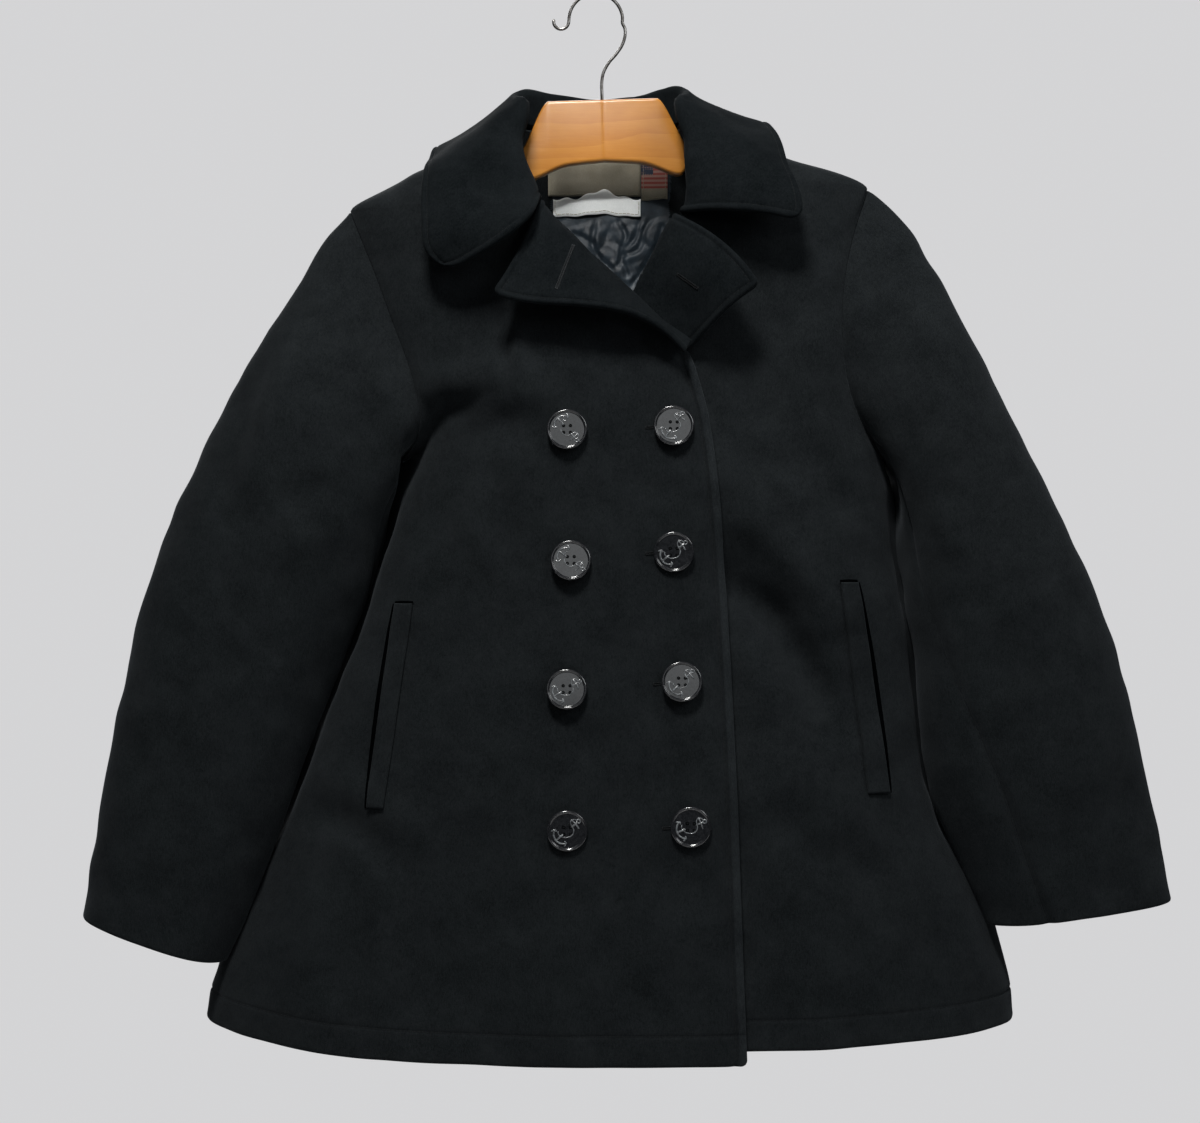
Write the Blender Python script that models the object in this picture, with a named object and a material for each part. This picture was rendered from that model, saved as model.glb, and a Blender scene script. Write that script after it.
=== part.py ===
"""A double-breasted wool pea coat hanging on a wooden hanger.

Metres, +Z up. The origin is the point under the bend of the hook, where a rail or peg carries it.
The coat's front faces -Y. Right and left are the wearer's, so the right front, which lies on top of
the left one, is on the -X side. The two sides differ a little, because the coat hangs askew.
"""
import bisect
import math

import bmesh
import bpy
import numpy as np
from mathutils import Vector
from mathutils.bvhtree import BVHTree

RIGHT, LEFT = -1, 1
FRONT, BACK = "front", "back"
QUARTER = math.pi / 2

# Cloth and seams
CLOTH = 0.0026            # one layer of melton
TURNED = 0.0044           # two layers, at the hem, the cuffs and the front edges
DOUBLE = 0.0045           # collar and lapels: two layers sewn and turned
SEAM_GAP = 0.0003         # left open between pieces
ROLL_GAP = 0.0009         # left open where a collar or lapel leaves the front's edge
TURN_RADIUS = 0.0034      # middle of the cloth where a collar or lapel turns over
HEM_DEPTH = 0.045
EDGE_WIDTH = 0.030

# Heights
NECK_Z = -0.106
ARMPIT_Z = -0.3845
HEM_Z = -0.8345
HEM_DROP_FROM_Z = -0.60
TIP_Z = {RIGHT: -0.1776, LEFT: -0.1595}
GORGE_Z = {RIGHT: -0.180, LEFT: -0.1905}
BREAK_Z = {RIGHT: -0.2958, LEFT: -0.312}

# How much lower the hem hangs in the middle than at the side seams
HEM_DROP = {(RIGHT, FRONT): 0.0225, (LEFT, FRONT): 0.0120, (RIGHT, BACK): 0.010, (LEFT, BACK): 0.010}

# Mesh divisions
ROWS_BELOW_ARMPIT = 16
ROWS_AT_ARMHOLE = 11
ROWS_AT_SHOULDER = 4
FRONT_COLUMNS = 15
BACK_COLUMNS = 9
SLEEVE_RINGS = 19
COLLAR_STATIONS = 30
LAPEL_STATIONS = 11
TURN_STEPS, FALL_STEPS = 4, 4   # steps over the turn of a collar or lapel, and down its fall
WELT_STEPS = (11, 3)
LABEL_STEPS = (3, 6)
BUTTON_SIDES = 14
HOLE_SIDES = 5


def monotone(xs, ys, at):
    """Value at a place on the smooth curve through the points, which never overshoots them."""
    last = len(xs) - 1
    i = min(max(bisect.bisect_right(xs, at) - 1, 0), last - 1)
    secants = [(ys[k + 1] - ys[k]) / (xs[k + 1] - xs[k]) for k in range(last)]

    def slope(k):
        if k == 0 or k == last:
            return secants[min(k, last - 1)]
        before, after = secants[k - 1], secants[k]
        return 2 * before * after / (before + after) if before * after > 0 else 0.0

    step = xs[i + 1] - xs[i]
    u = min(max((at - xs[i]) / step, 0.0), 1.0)
    rise = u * u * (3 - 2 * u)
    start_pull = u * (1 - u) ** 2 * step * slope(i)
    end_pull = u * u * (u - 1) * step * slope(i + 1)
    return ys[i] * (1 - rise) + ys[i + 1] * rise + start_pull + end_pull


class Table:
    """Rows of sizes under named columns, read smoothly between rows by the first column."""

    def __init__(self, columns, rows):
        ordered = sorted(rows)
        names = columns.split()
        self.at = [row[0] for row in ordered]
        self.columns = {name: [row[i] for row in ordered] for i, name in enumerate(names)}

    def read(self, name, at):
        return monotone(self.at, self.columns[name], at)

    def point(self, name, at):
        return np.array([self.read(name + "_" + axis, at) for axis in "xyz"])


# Level sections of the coat's body: outline at the right and left side seams or shoulder ridges,
# its middle, how far the front and back stand from the side seams, and how square the section is.
BODY = Table("z right left middle front back square", (
    (-0.106, -0.064, 0.0715, 0.005, 0.030, 0.040, 2.2),
    (-0.135, -0.126, 0.157, 0.009, 0.040, 0.049, 2.3),
    (-0.160, -0.171, 0.223, 0.013, 0.047, 0.054, 2.4),
    (-0.178, -0.202, 0.225, 0.016, 0.051, 0.057, 2.4),
    (-0.250, -0.193, 0.226, 0.019, 0.066, 0.062, 2.5),
    (-0.320, -0.177, 0.228, 0.020, 0.076, 0.062, 2.5),
    (-0.385, -0.162, 0.236, 0.020, 0.080, 0.060, 2.5),
    (-0.410, -0.1715, 0.2435, 0.020, 0.081, 0.059, 2.5),
    (-0.433, -0.1755, 0.2475, 0.021, 0.082, 0.058, 2.5),
    (-0.478, -0.1880, 0.2555, 0.021, 0.084, 0.057, 2.5),
    (-0.530, -0.2060, 0.2640, 0.021, 0.087, 0.058, 2.5),
    (-0.582, -0.2275, 0.2695, 0.021, 0.091, 0.060, 2.4),
    (-0.624, -0.2430, 0.2740, 0.021, 0.094, 0.062, 2.4),
    (-0.670, -0.2600, 0.2860, 0.020, 0.097, 0.065, 2.4),
    (-0.705, -0.2730, 0.3025, 0.019, 0.099, 0.067, 2.4),
    (-0.748, -0.2900, 0.3220, 0.018, 0.102, 0.070, 2.4),
    (-0.793, -0.3095, 0.3345, 0.017, 0.104, 0.072, 2.4),
    (-0.8345, -0.3180, 0.3420, 0.016, 0.106, 0.074, 2.4),
))

# Free edge of each front: neck, roll line of the lapel, then the straight front edge.
FRONT_EDGE = Table("z right left", (
    (-0.106, -0.0605, 0.0680),
    (-0.128, -0.0700, 0.0825),
    (-0.150, -0.0640, 0.0830),
    (-0.178, -0.0500, 0.0790),
    (-0.196, -0.0370, 0.0640),
    (-0.222, -0.0102, 0.0510),
    (-0.252, 0.0204, 0.0360),
    (-0.276, 0.0450, 0.0240),
    (-0.302, 0.0750, 0.0060),
    (-0.322, 0.0820, -0.0060),
    (-0.353, 0.0859, -0.0220),
    (-0.416, 0.0912, -0.0400),
    (-0.495, 0.0973, -0.0500),
    (-0.573, 0.1049, -0.0550),
    (-0.650, 0.1102, -0.0600),
    (-0.728, 0.1138, -0.0630),
    (-0.8345, 0.1180, -0.0660),
))

# The left front lies under the right one, this far behind the surface of the body.
UNDER = Table("z behind", ((-0.17, 0.0), (-0.22, 0.0100), (-0.27, 0.0160), (-0.32, 0.0170), (-0.41, 0.0070),
                           (-0.84, 0.0060)))
UNDER_FULL_X, UNDER_NONE_X = 0.115, 0.190

# The armhole cuts into the front and back by this angle, deeper towards the armpit by the skew.
ARMHOLE = {
    (RIGHT, FRONT): (0.45, 0.50),
    (LEFT, FRONT): (0.52, 0.10),
    (RIGHT, BACK): (0.42, 0.20),
    (LEFT, BACK): (0.42, 0.20),
}

# Largest folds: both ends of each ridge (or trough, where the lift is below zero), its width and lift.
FOLDS = {
    FRONT: (
        ((-0.150, -0.340), (-0.062, -0.328), 0.024, 0.008),
        ((-0.158, -0.402), (-0.075, -0.356), 0.018, -0.009),
        ((-0.140, -0.470), (-0.060, -0.400), 0.030, 0.004),
        ((0.118, -0.470), (0.190, -0.585), 0.026, -0.009),
        ((0.095, -0.395), (0.190, -0.475), 0.030, 0.005),
        ((0.120, -0.640), (0.170, -0.700), 0.040, 0.005),
        ((-0.190, -0.690), (-0.215, -0.850), 0.035, 0.006),
        ((-0.090, -0.700), (-0.100, -0.860), 0.030, -0.004),
        ((0.205, -0.720), (0.230, -0.850), 0.030, -0.005),
    ),
    BACK: (
        ((-0.110, -0.330), (-0.170, -0.860), 0.035, 0.009),
        ((-0.045, -0.520), (-0.070, -0.860), 0.030, -0.006),
        ((0.150, -0.340), (0.200, -0.860), 0.035, 0.008),
        ((0.070, -0.560), (0.090, -0.860), 0.030, -0.006),
    ),
}

# Sections of the sleeves from the shoulder to the cuff: the outer and inner side of each, how far it
# stands from the side seams, half its depth, and how far the seams have turned round it.
SLEEVE_COLUMNS = "row outer_x outer_z inner_x inner_z middle_y depth twist"
SLEEVE = {
    RIGHT: Table(SLEEVE_COLUMNS, (
        (0, -0.202, -0.1776, -0.1620, -0.3845, 0.002, 0.055, 0),
        (1, -0.224, -0.206, -0.1735, -0.396, -0.004, 0.056, 0),
        (2, -0.247, -0.249, -0.1755, -0.416, -0.010, 0.056, 6),
        (3, -0.275, -0.293, -0.1775, -0.439, -0.019, 0.055, 16),
        (4, -0.301, -0.340, -0.1840, -0.465, -0.023, 0.053, 26),
        (5, -0.326, -0.394, -0.1925, -0.497, -0.026, 0.051, 34),
        (6, -0.350, -0.450, -0.2080, -0.536, -0.027, 0.050, 38),
        (7, -0.368, -0.508, -0.2250, -0.579, -0.030, 0.048, 40),
        (8, -0.380, -0.565, -0.2410, -0.622, -0.032, 0.046, 40),
        (9, -0.391, -0.621, -0.2590, -0.674, -0.034, 0.044, 40),
        (10, -0.401, -0.681, -0.2805, -0.729, -0.036, 0.041, 40),
        (11, -0.412, -0.749, -0.3070, -0.786, -0.038, 0.038, 40),
    )),
    LEFT: Table(SLEEVE_COLUMNS, (
        (0, 0.2235, -0.1595, 0.2360, -0.3845, 0.002, 0.055, 0),
        (1, 0.249, -0.183, 0.2450, -0.398, -0.004, 0.056, 0),
        (2, 0.274, -0.225, 0.2465, -0.415, -0.010, 0.056, 4),
        (3, 0.298, -0.272, 0.2490, -0.436, -0.019, 0.055, 8),
        (4, 0.323, -0.324, 0.2530, -0.463, -0.024, 0.053, 10),
        (5, 0.348, -0.376, 0.2565, -0.496, -0.028, 0.051, 6),
        (6, 0.375, -0.431, 0.2625, -0.536, -0.031, 0.050, -4),
        (7, 0.401, -0.489, 0.2660, -0.583, -0.034, 0.048, -16),
        (8, 0.421, -0.548, 0.2720, -0.629, -0.036, 0.045, -26),
        (9, 0.436, -0.610, 0.2860, -0.671, -0.037, 0.041, -30),
        (10, 0.450, -0.674, 0.3040, -0.711, -0.036, 0.036, -29),
        (11, 0.462, -0.7365, 0.3270, -0.757, -0.038, 0.030, -27),
    )),
}
SLEEVE_ROWS = 11
SLEEVE_STEPS = 2 * ROWS_AT_ARMHOLE
CUFF_TURNED_ROWS = (10.1, 10.5)
ARMHOLE_BLEND_ROWS = 3.6
FRONT_SEAM_STEP = 9       # where the two sleeve seams leave the armhole, counted from the shoulder
BACK_SEAM_STEP = 15

# The collar from its right front end (0) round the back (0.5) to its left front end (1): height of
# the stand, and the middle and edge of the fall.
COLLAR = Table("along stand mid_x mid_y mid_z leaf_x leaf_y leaf_z", (
    (0.00, 0.0015, -0.068, -0.081, -0.204, -0.1175, -0.082, -0.2300),
    (0.05, 0.005, -0.092, -0.074, -0.188, -0.1350, -0.076, -0.2060),
    (0.11, 0.006, -0.099, -0.058, -0.156, -0.1390, -0.062, -0.1740),
    (0.16, 0.006, -0.099, -0.036, -0.130, -0.1380, -0.040, -0.1540),
    (0.20, 0.011, -0.098, -0.012, -0.114, -0.1370, -0.015, -0.1410),
    (0.27, 0.019, -0.095, 0.020, -0.103, -0.1325, 0.025, -0.1240),
    (0.34, 0.022, -0.076, 0.044, -0.101, -0.1080, 0.052, -0.1320),
    (0.42, 0.023, -0.040, 0.056, -0.106, -0.0580, 0.064, -0.1440),
    (0.50, 0.024, 0.005, 0.060, -0.110, 0.0050, 0.067, -0.1490),
    (0.58, 0.023, 0.050, 0.056, -0.104, 0.0680, 0.064, -0.1400),
    (0.66, 0.022, 0.086, 0.044, -0.093, 0.1200, 0.052, -0.1180),
    (0.73, 0.019, 0.101, 0.020, -0.091, 0.1410, 0.025, -0.1030),
    (0.80, 0.011, 0.108, -0.012, -0.106, 0.1510, -0.018, -0.1260),
    (0.84, 0.006, 0.112, -0.036, -0.124, 0.1540, -0.040, -0.1460),
    (0.89, 0.006, 0.114, -0.055, -0.148, 0.1570, -0.058, -0.1630),
    (0.95, 0.004, 0.115, -0.067, -0.171, 0.1600, -0.070, -0.1780),
    (1.00, 0.0015, 0.115, -0.073, -0.187, 0.1600, -0.075, -0.1930),
))
COLLAR_FRONT_SHARE = 0.20     # share of the collar's length that runs up each front's edge
COLLAR_UPRIGHT_FROM = (0.12, 0.24)   # the stand leans on the front's edge before this stretch
GORGE_GAP = 0.0022            # between the collar's end and the lapel
CORNER_CLEAR = 0.6            # share more that the collar clears the front's corner at the neck
EDGE_STEP = 0.006             # half the length over which the run of a front's edge is taken

# The outer edge of each lapel from the notch (0) to the break of the front (1), and how far its
# middle bows towards the notch and lifts off the coat.
LAPEL_COLUMNS = "along edge_x edge_y edge_z bow lift"
LAPEL = {
    RIGHT: Table(LAPEL_COLUMNS, (
        (0.00, -0.0790, -0.090, -0.2520, -0.006, 0.004),
        (0.12, -0.0690, -0.091, -0.2595, -0.002, 0.004),
        (0.30, -0.0450, -0.092, -0.2635, 0.0, 0.004),
        (0.50, -0.0145, -0.094, -0.2655, 0.0, 0.004),
        (0.68, 0.0160, -0.095, -0.2690, 0.0, 0.003),
        (0.80, 0.0360, -0.093, -0.2750, 0.0, 0.002),
        (0.91, 0.0560, -0.090, -0.2860, 0.0, 0.001),
        (1.00, 0.0700, -0.087, -0.3000, 0.0, 0.0),
    )),
    LEFT: Table(LAPEL_COLUMNS, (
        (0.00, 0.1250, -0.088, -0.2445, 0.006, 0.004),
        (0.20, 0.1080, -0.084, -0.2625, 0.002, 0.002),
        (0.45, 0.0880, -0.071, -0.2825, 0.0, -0.003),
        (0.60, 0.0760, -0.0632, -0.2945, 0.0, -0.001),
        (0.80, 0.0500, -0.0650, -0.3090, 0.0, 0.0),
        (1.00, 0.0200, -0.0660, -0.3220, 0.0, 0.0),
    )),
}
LAPEL_STAND = 0.0015

# What lies on the cloth is seated by a line towards +Y that starts here
IN_FRONT, INSIDE = -1.0, 0.0

# Pocket welts: the corners at both ends
WELT_THICKNESS = 0.0026
WELT_LIFT = 0.0005
WELTS = {
    RIGHT: ((-0.1595, -0.498), (-0.1445, -0.498), (-0.180, -0.6585), (-0.166, -0.6585)),
    LEFT: ((0.193, -0.481), (0.2075, -0.481), (0.2145, -0.6475), (0.2325, -0.6475)),
}

# Buttons, on both sides of the front edge's overlap
BUTTON_RADIUS = 0.016
BUTTON_THICKNESS = 0.0040
BUTTON_LIFT = 0.0005
BUTTON_PROFILE = ((0.0, 0.0), (0.84, 0.0), (1.0, 0.40), (0.97, 0.95), (0.86, 1.0), (0.76, 0.66), (0.0, 0.60))
BUTTON_HOLE_RADIUS = 0.0012
BUTTON_HOLE_SPACING = 0.0042
BUTTONS = (
    ("a1", -0.0225, -0.361), ("a2", -0.0194, -0.464), ("a3", -0.0224, -0.5645), ("a4", -0.0223, -0.674),
    ("b1", 0.0613, -0.358), ("b2", 0.0611, -0.457), ("b3", 0.0671, -0.559), ("b4", 0.0739, -0.671),
)

# Lining of the back, where the neck shows it, and the labels on it: left, right, top, bottom
LINING = 0.0015
LINING_COLUMNS = 4
LINING_BOTTOM_Z = -0.30
LINING_GAP = 0.0004
LABEL_THICKNESS = 0.0010
LABEL_LIFT = 0.0005
LABELS = (
    ("neck_label", -0.0402, 0.0374, -0.128, -0.158),
    ("flag_label", 0.0382, 0.0600, -0.130, -0.161),
    ("care_label", -0.0360, 0.0374, -0.1592, -0.174),
)

# Hanger
HANGER_X = 0.0055
HANGER_TILT = math.radians(-1.72)
HANGER_THICKNESS = 0.012
HANGER_CHAMFER = 0.0025
HANGER_PIVOT_Z = -0.087
HANGER = Table("out top bottom", (
    (0.000, -0.0865, -0.1370),
    (0.030, -0.0865, -0.1395),
    (0.047, -0.0880, -0.1445),
    (0.062, -0.1200, -0.1500),
    (0.075, -0.1225, -0.1530),
    (0.100, -0.1264, -0.1590),
    (0.145, -0.1411, -0.1720),
    (0.180, -0.1594, -0.1860),
    (0.200, -0.1702, -0.1960),
))
HANGER_STATIONS = (0, 0.020, 0.038, 0.047, 0.0545, 0.062, 0.075, 0.100, 0.125, 0.150, 0.175, 0.200)
HOOK_WIRE = 0.0026
HOOK_BEND_RADIUS = 0.0220
HOOK_BEND_CENTRE = (-0.0002, -0.0207)
HOOK_NECK = ((0.0050, -0.0862), (0.0048, -0.0800), (0.0047, -0.0725), (0.0060, -0.0640), (0.0105, -0.0555),
             (0.0165, -0.0485), (0.0212, -0.0415), (0.0236, -0.0345), (0.0238, -0.0280))
HOOK_CURL_CENTRE = (-0.0286, -0.0218)
HOOK_CURL_RADIUS = 0.0062

WOOL_COLOUR = (0.010, 0.011, 0.014)
LINING_COLOUR = (0.045, 0.060, 0.085)
BUTTON_COLOUR = (0.012, 0.013, 0.015)
LABEL_COLOUR = (0.55, 0.50, 0.42)
CARE_COLOUR = (0.80, 0.80, 0.78)
WOOD_COLOUR = (0.72, 0.36, 0.10)
STEEL_COLOUR = (0.45, 0.45, 0.46)


def smooth_step(start, end, at):
    u = min(max((at - start) / (end - start), 0.0), 1.0)
    return u * u * (3 - 2 * u)


def unit(vector):
    return vector / np.linalg.norm(vector)


# ---- The form of the body ----

def fold_lift(face, x, z):
    """How far the folds push the cloth out at a place."""
    lift = 0.0
    for start, end, width, height in FOLDS[face]:
        run_x, run_z = end[0] - start[0], end[1] - start[1]
        along = ((x - start[0]) * run_x + (z - start[1]) * run_z) / (run_x ** 2 + run_z ** 2)
        along = min(max(along, 0.0), 1.0)
        off = math.hypot(x - start[0] - along * run_x, z - start[1] - along * run_z)
        lift += height * math.exp(-(off / width) ** 2)
    return lift


def half_width(angle, z):
    side = "left" if angle > 0 else "right"
    return abs(BODY.read(side, z) - BODY.read("middle", z))


def angle_at(x, z):
    """The angle from the middle of the front or back at which the body reaches an x."""
    off = x - BODY.read("middle", z)
    return math.asin(min(max(off / half_width(off, z), -1.0), 1.0))


def body_point(side, face, angle, z):
    """Point of the outer surface. The angle is 0 in the middle and a quarter turn at the side."""
    across = abs(math.sin(angle))
    square = BODY.read("square", z)
    depth = BODY.read(face, z) * (1 - min(across, 1.0) ** square) ** (1 / square)
    x = BODY.read("middle", z) + half_width(angle, z) * math.sin(angle)
    depth += fold_lift(face, x, z) * (1 - across ** 4)
    if face == FRONT and side == LEFT:
        hidden = (1 - smooth_step(UNDER_FULL_X, UNDER_NONE_X, x)) * (1 - across ** 4)
        depth -= UNDER.read("behind", z) * hidden
    drop = HEM_DROP[side, face] * (1 - across ** 3) * smooth_step(HEM_DROP_FROM_Z, HEM_Z, z)
    return np.array((x, -depth if face == FRONT else depth, z - drop))


def body_normal(side, face, angle, z):
    """Unit vector out of the surface."""
    step = 0.001
    above, below = min(z + step, NECK_Z), max(z - step, HEM_Z)
    up = body_point(side, face, angle, above) - body_point(side, face, angle, below)
    if abs(angle) > QUARTER - 0.001:
        turn = math.copysign(1.0, angle)
        return unit(np.array((turn * abs(up[2]), 0.0, -turn * up[0])))
    high = min(angle + 0.02, QUARTER)
    low = max(angle - 0.02, -QUARTER)
    along = body_point(side, face, high, z) - body_point(side, face, low, z)
    return unit(np.cross(along, up) if face == FRONT else np.cross(up, along))


# ---- Armholes and sleeves ----

def armhole_z(side, turn):
    """Height at a turn round the armhole, 0 at the shoulder tip and pi at the armpit."""
    return TIP_Z[side] + (ARMPIT_Z - TIP_Z[side]) * (1 - math.cos(turn)) / 2


def armhole_angle(side, face, turn):
    depth, skew = ARMHOLE[side, face]
    lower = (1 - math.cos(turn)) / 2
    return side * (QUARTER - math.sin(turn) * (depth + skew * lower ** 3))


def face_and_turn(turn):
    """A turn round the whole armhole as its face and the turn on that face."""
    turn = turn % (2 * math.pi)
    return (FRONT, turn) if turn <= math.pi else (BACK, 2 * math.pi - turn)


def armhole_point(side, turn):
    face, turn = face_and_turn(turn)
    return body_point(side, face, armhole_angle(side, face, turn), armhole_z(side, turn))


def sleeve_section(side, row, turn):
    """Point of the plain oval section of a sleeve."""
    table = SLEEVE[side]
    outer = np.array((table.read("outer_x", row), 0, table.read("outer_z", row)))
    inner = np.array((table.read("inner_x", row), 0, table.read("inner_z", row)))
    round_turn = turn + math.radians(table.read("twist", row))
    across, ahead = math.cos(round_turn), math.sin(round_turn)
    across = math.copysign(abs(across) ** 0.92, across)
    ahead = math.copysign(abs(ahead) ** 0.92, ahead)
    point = (outer + inner) / 2 + (outer - inner) / 2 * across
    point[1] = table.read("middle_y", row) - table.read("depth", row) * ahead
    return point


def sleeve_point(side, row, turn):
    """Point of the sleeve's outer surface: the armhole's own edge easing into the oval sections."""
    point = sleeve_section(side, row, turn)
    if row < ARMHOLE_BLEND_ROWS:
        ease = math.cos(QUARTER * row / ARMHOLE_BLEND_ROWS) ** 2
        point = point + (armhole_point(side, turn) - sleeve_section(side, 0, turn)) * ease
    return point


def sleeve_normal(side, row, turn):
    step = 0.02
    lower, upper = min(row + step, SLEEVE_ROWS), max(row - step, 0)
    down = sleeve_point(side, lower, turn) - sleeve_point(side, upper, turn)
    around = sleeve_point(side, row, turn + step) - sleeve_point(side, row, turn - step)
    return unit(np.cross(around, down)) * side


def armhole_mitre(side, turn):
    """Direction between the cloth of the body and that of the sleeve, where they are sewn."""
    face, face_turn = face_and_turn(turn)
    of_body = body_normal(side, face, armhole_angle(side, face, face_turn), armhole_z(side, face_turn))
    between = of_body + sleeve_normal(side, 0, turn)
    if np.linalg.norm(between) < 0.4:
        between = between + np.array((0, 0, -0.6))
    between = unit(between)
    return between / max(float(between @ of_body), 0.65)


# ---- Making solids ----

def remove_everything():
    for thing in list(bpy.data.objects):
        bpy.data.objects.remove(thing, do_unlink=True)


def material(name, colour, roughness, metallic=0.0):
    made = bpy.data.materials.new(name)
    made.use_nodes = True
    shader = made.node_tree.nodes["Principled BSDF"]
    shader.inputs["Base Color"].default_value = (*colour, 1.0)
    shader.inputs["Roughness"].default_value = roughness
    shader.inputs["Metallic"].default_value = metallic
    made.diffuse_color = (*colour, 1.0)
    return made


def add_object(name, mesh, finish):
    mesh.materials.append(finish)
    made = bpy.data.objects.new(name, mesh)
    bpy.context.scene.collection.objects.link(made)
    return made


def add_wall(name, outer, inner, finish):
    """A closed wall between two grids of points of the same shape."""
    rows, columns = outer.shape[:2]
    shape = bmesh.new()
    outside = [[shape.verts.new(point) for point in row] for row in outer]
    inside = [[shape.verts.new(point) for point in row] for row in inner]
    for r in range(rows - 1):
        for c in range(columns - 1):
            for grid in (outside, inside):
                shape.faces.new((grid[r][c], grid[r][c + 1], grid[r + 1][c + 1], grid[r + 1][c]))
    rim = [(0, c) for c in range(columns - 1)] + [(r, columns - 1) for r in range(rows - 1)]
    rim += [(rows - 1, c) for c in range(columns - 1, 0, -1)] + [(r, 0) for r in range(rows - 1, 0, -1)]
    for (r0, c0), (r1, c1) in zip(rim, rim[1:] + rim[:1]):
        shape.faces.new((outside[r0][c0], outside[r1][c1], inside[r1][c1], inside[r0][c0]))
    bmesh.ops.recalc_face_normals(shape, faces=shape.faces)
    bmesh.ops.triangulate(shape, faces=shape.faces)
    mesh = bpy.data.meshes.new(name)
    shape.to_mesh(mesh)
    shape.free()
    mesh.shade_smooth()
    mesh.set_sharp_from_angle(angle=math.radians(40))
    return add_object(name, mesh, finish)


def draw_back(grid, edges):
    """Moves the named edges of a grid back by half a seam gap."""
    moved = grid.copy()
    ends = {"first_row": (0, 1), "last_row": (-1, -2)}
    for edge in edges:
        if edge in ends:
            here, there = ends[edge]
            moved[here] += [unit(v) * SEAM_GAP / 2 for v in grid[there] - grid[here]]
        else:
            here, there = (0, 1) if edge == "first_column" else (-1, -2)
            moved[:, here] += [unit(v) * SEAM_GAP / 2 for v in grid[:, there] - grid[:, here]]
    return moved


def even_gradient(grid, axis):
    """Directions along one axis of a grid, each the mean of the unit steps on both sides of a point."""
    steps = np.diff(grid, axis=axis)
    steps /= np.linalg.norm(steps, axis=2, keepdims=True)
    first, last = np.take(steps, [0], axis), np.take(steps, [-1], axis)
    return np.concatenate((first, steps), axis) + np.concatenate((steps, last), axis)


def grid_normals(grid, towards):
    """Unit normals of a grid of points, on the side that the given vector points to."""
    normals = np.cross(even_gradient(grid, 0), even_gradient(grid, 1))
    normals /= np.linalg.norm(normals, axis=2, keepdims=True)
    middle = normals[grid.shape[0] // 2, grid.shape[1] // 2]
    return normals if middle @ np.array(towards) > 0 else -normals


# ---- Body pieces ----

def levels(side):
    """Heights of a body piece's rows from hem to neck, with the turn round the armhole or None."""
    below = [(HEM_Z + (ARMPIT_Z - HEM_Z) * i / ROWS_BELOW_ARMPIT, None) for i in range(ROWS_BELOW_ARMPIT)]
    turns = [math.pi * (1 - i / ROWS_AT_ARMHOLE) for i in range(ROWS_AT_ARMHOLE + 1)]
    beside = [(armhole_z(side, turn), turn) for turn in turns]
    rise = NECK_Z - TIP_Z[side]
    above = [(TIP_Z[side] + rise * (i + 1) / ROWS_AT_SHOULDER, None) for i in range(ROWS_AT_SHOULDER)]
    return below + beside + above


def inner_angle(side, face, z):
    """Angle of the front's free edge, or of the seam down the middle of the back."""
    if face == BACK:
        return 0.0
    return angle_at(FRONT_EDGE.read("right" if side == RIGHT else "left", z), z)


def thickness(side, face, point, z):
    """One layer of cloth, and two at the hem and along the front edge."""
    turned = 1 - smooth_step(HEM_Z + HEM_DEPTH * 0.5, HEM_Z + HEM_DEPTH, z)
    if face == FRONT:
        edge = FRONT_EDGE.read("right" if side == RIGHT else "left", z)
        turned = max(turned, 1 - smooth_step(EDGE_WIDTH, 2 * EDGE_WIDTH, abs(point[0] - edge)))
        turned *= 1 - smooth_step(GORGE_Z[side], GORGE_Z[side] + 0.02, z)
    return CLOTH + (TURNED - CLOTH) * turned


def body_grids(side, face):
    """Outer and inner points of one front or one half of the back, hem row first, side seam first."""
    columns = FRONT_COLUMNS if face == FRONT else BACK_COLUMNS
    outer, inner = [], []
    for z, turn in levels(side):
        start = side * QUARTER if turn is None else armhole_angle(side, face, turn)
        end = inner_angle(side, face, z)
        outer_row, inner_row = [], []
        for c in range(columns + 1):
            angle = start + (end - start) * c / columns
            point = body_point(side, face, angle, z)
            if c == 0 and turn is not None:
                way = armhole_mitre(side, turn if face == FRONT else -turn)
                inward = way * CLOTH
            else:
                inward = body_normal(side, face, angle, z) * thickness(side, face, point, z)
            if face == BACK and c == columns:
                inward[0] = 0.0
            outer_row.append(point)
            inner_row.append(point - inward)
        outer.append(outer_row)
        inner.append(inner_row)
    return np.array(outer), np.array(inner)


def add_body_piece(name, side, face, finish):
    edges = ("first_column", "last_column") if face == BACK else ("first_column",)
    outer, inner = [draw_back(grid, edges) for grid in body_grids(side, face)]
    return add_wall(name, outer, inner, finish)


# ---- Sleeves ----

def add_sleeve_piece(name, side, first, last, finish):
    """The part of a sleeve between two of its seams."""
    outer, inner = [], []
    for ring in range(SLEEVE_RINGS + 1):
        row = SLEEVE_ROWS * ring / SLEEVE_RINGS
        turned = smooth_step(*CUFF_TURNED_ROWS, row)
        wall = CLOTH + (TURNED - CLOTH) * turned
        outer_ring, inner_ring = [], []
        for step in range(first, last + 1):
            turn = 2 * math.pi * step / SLEEVE_STEPS
            point = sleeve_point(side, row, turn)
            way = armhole_mitre(side, turn) * CLOTH if ring == 0 else sleeve_normal(side, row, turn) * wall
            outer_ring.append(point)
            inner_ring.append(point - way)
        outer.append(outer_ring)
        inner.append(inner_ring)
    edges = ("first_row", "first_column", "last_column")
    outer, inner = [draw_back(np.array(grid), edges) for grid in (outer, inner)]
    return add_wall(name, outer, inner, finish)


# ---- Collar and lapels ----

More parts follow.
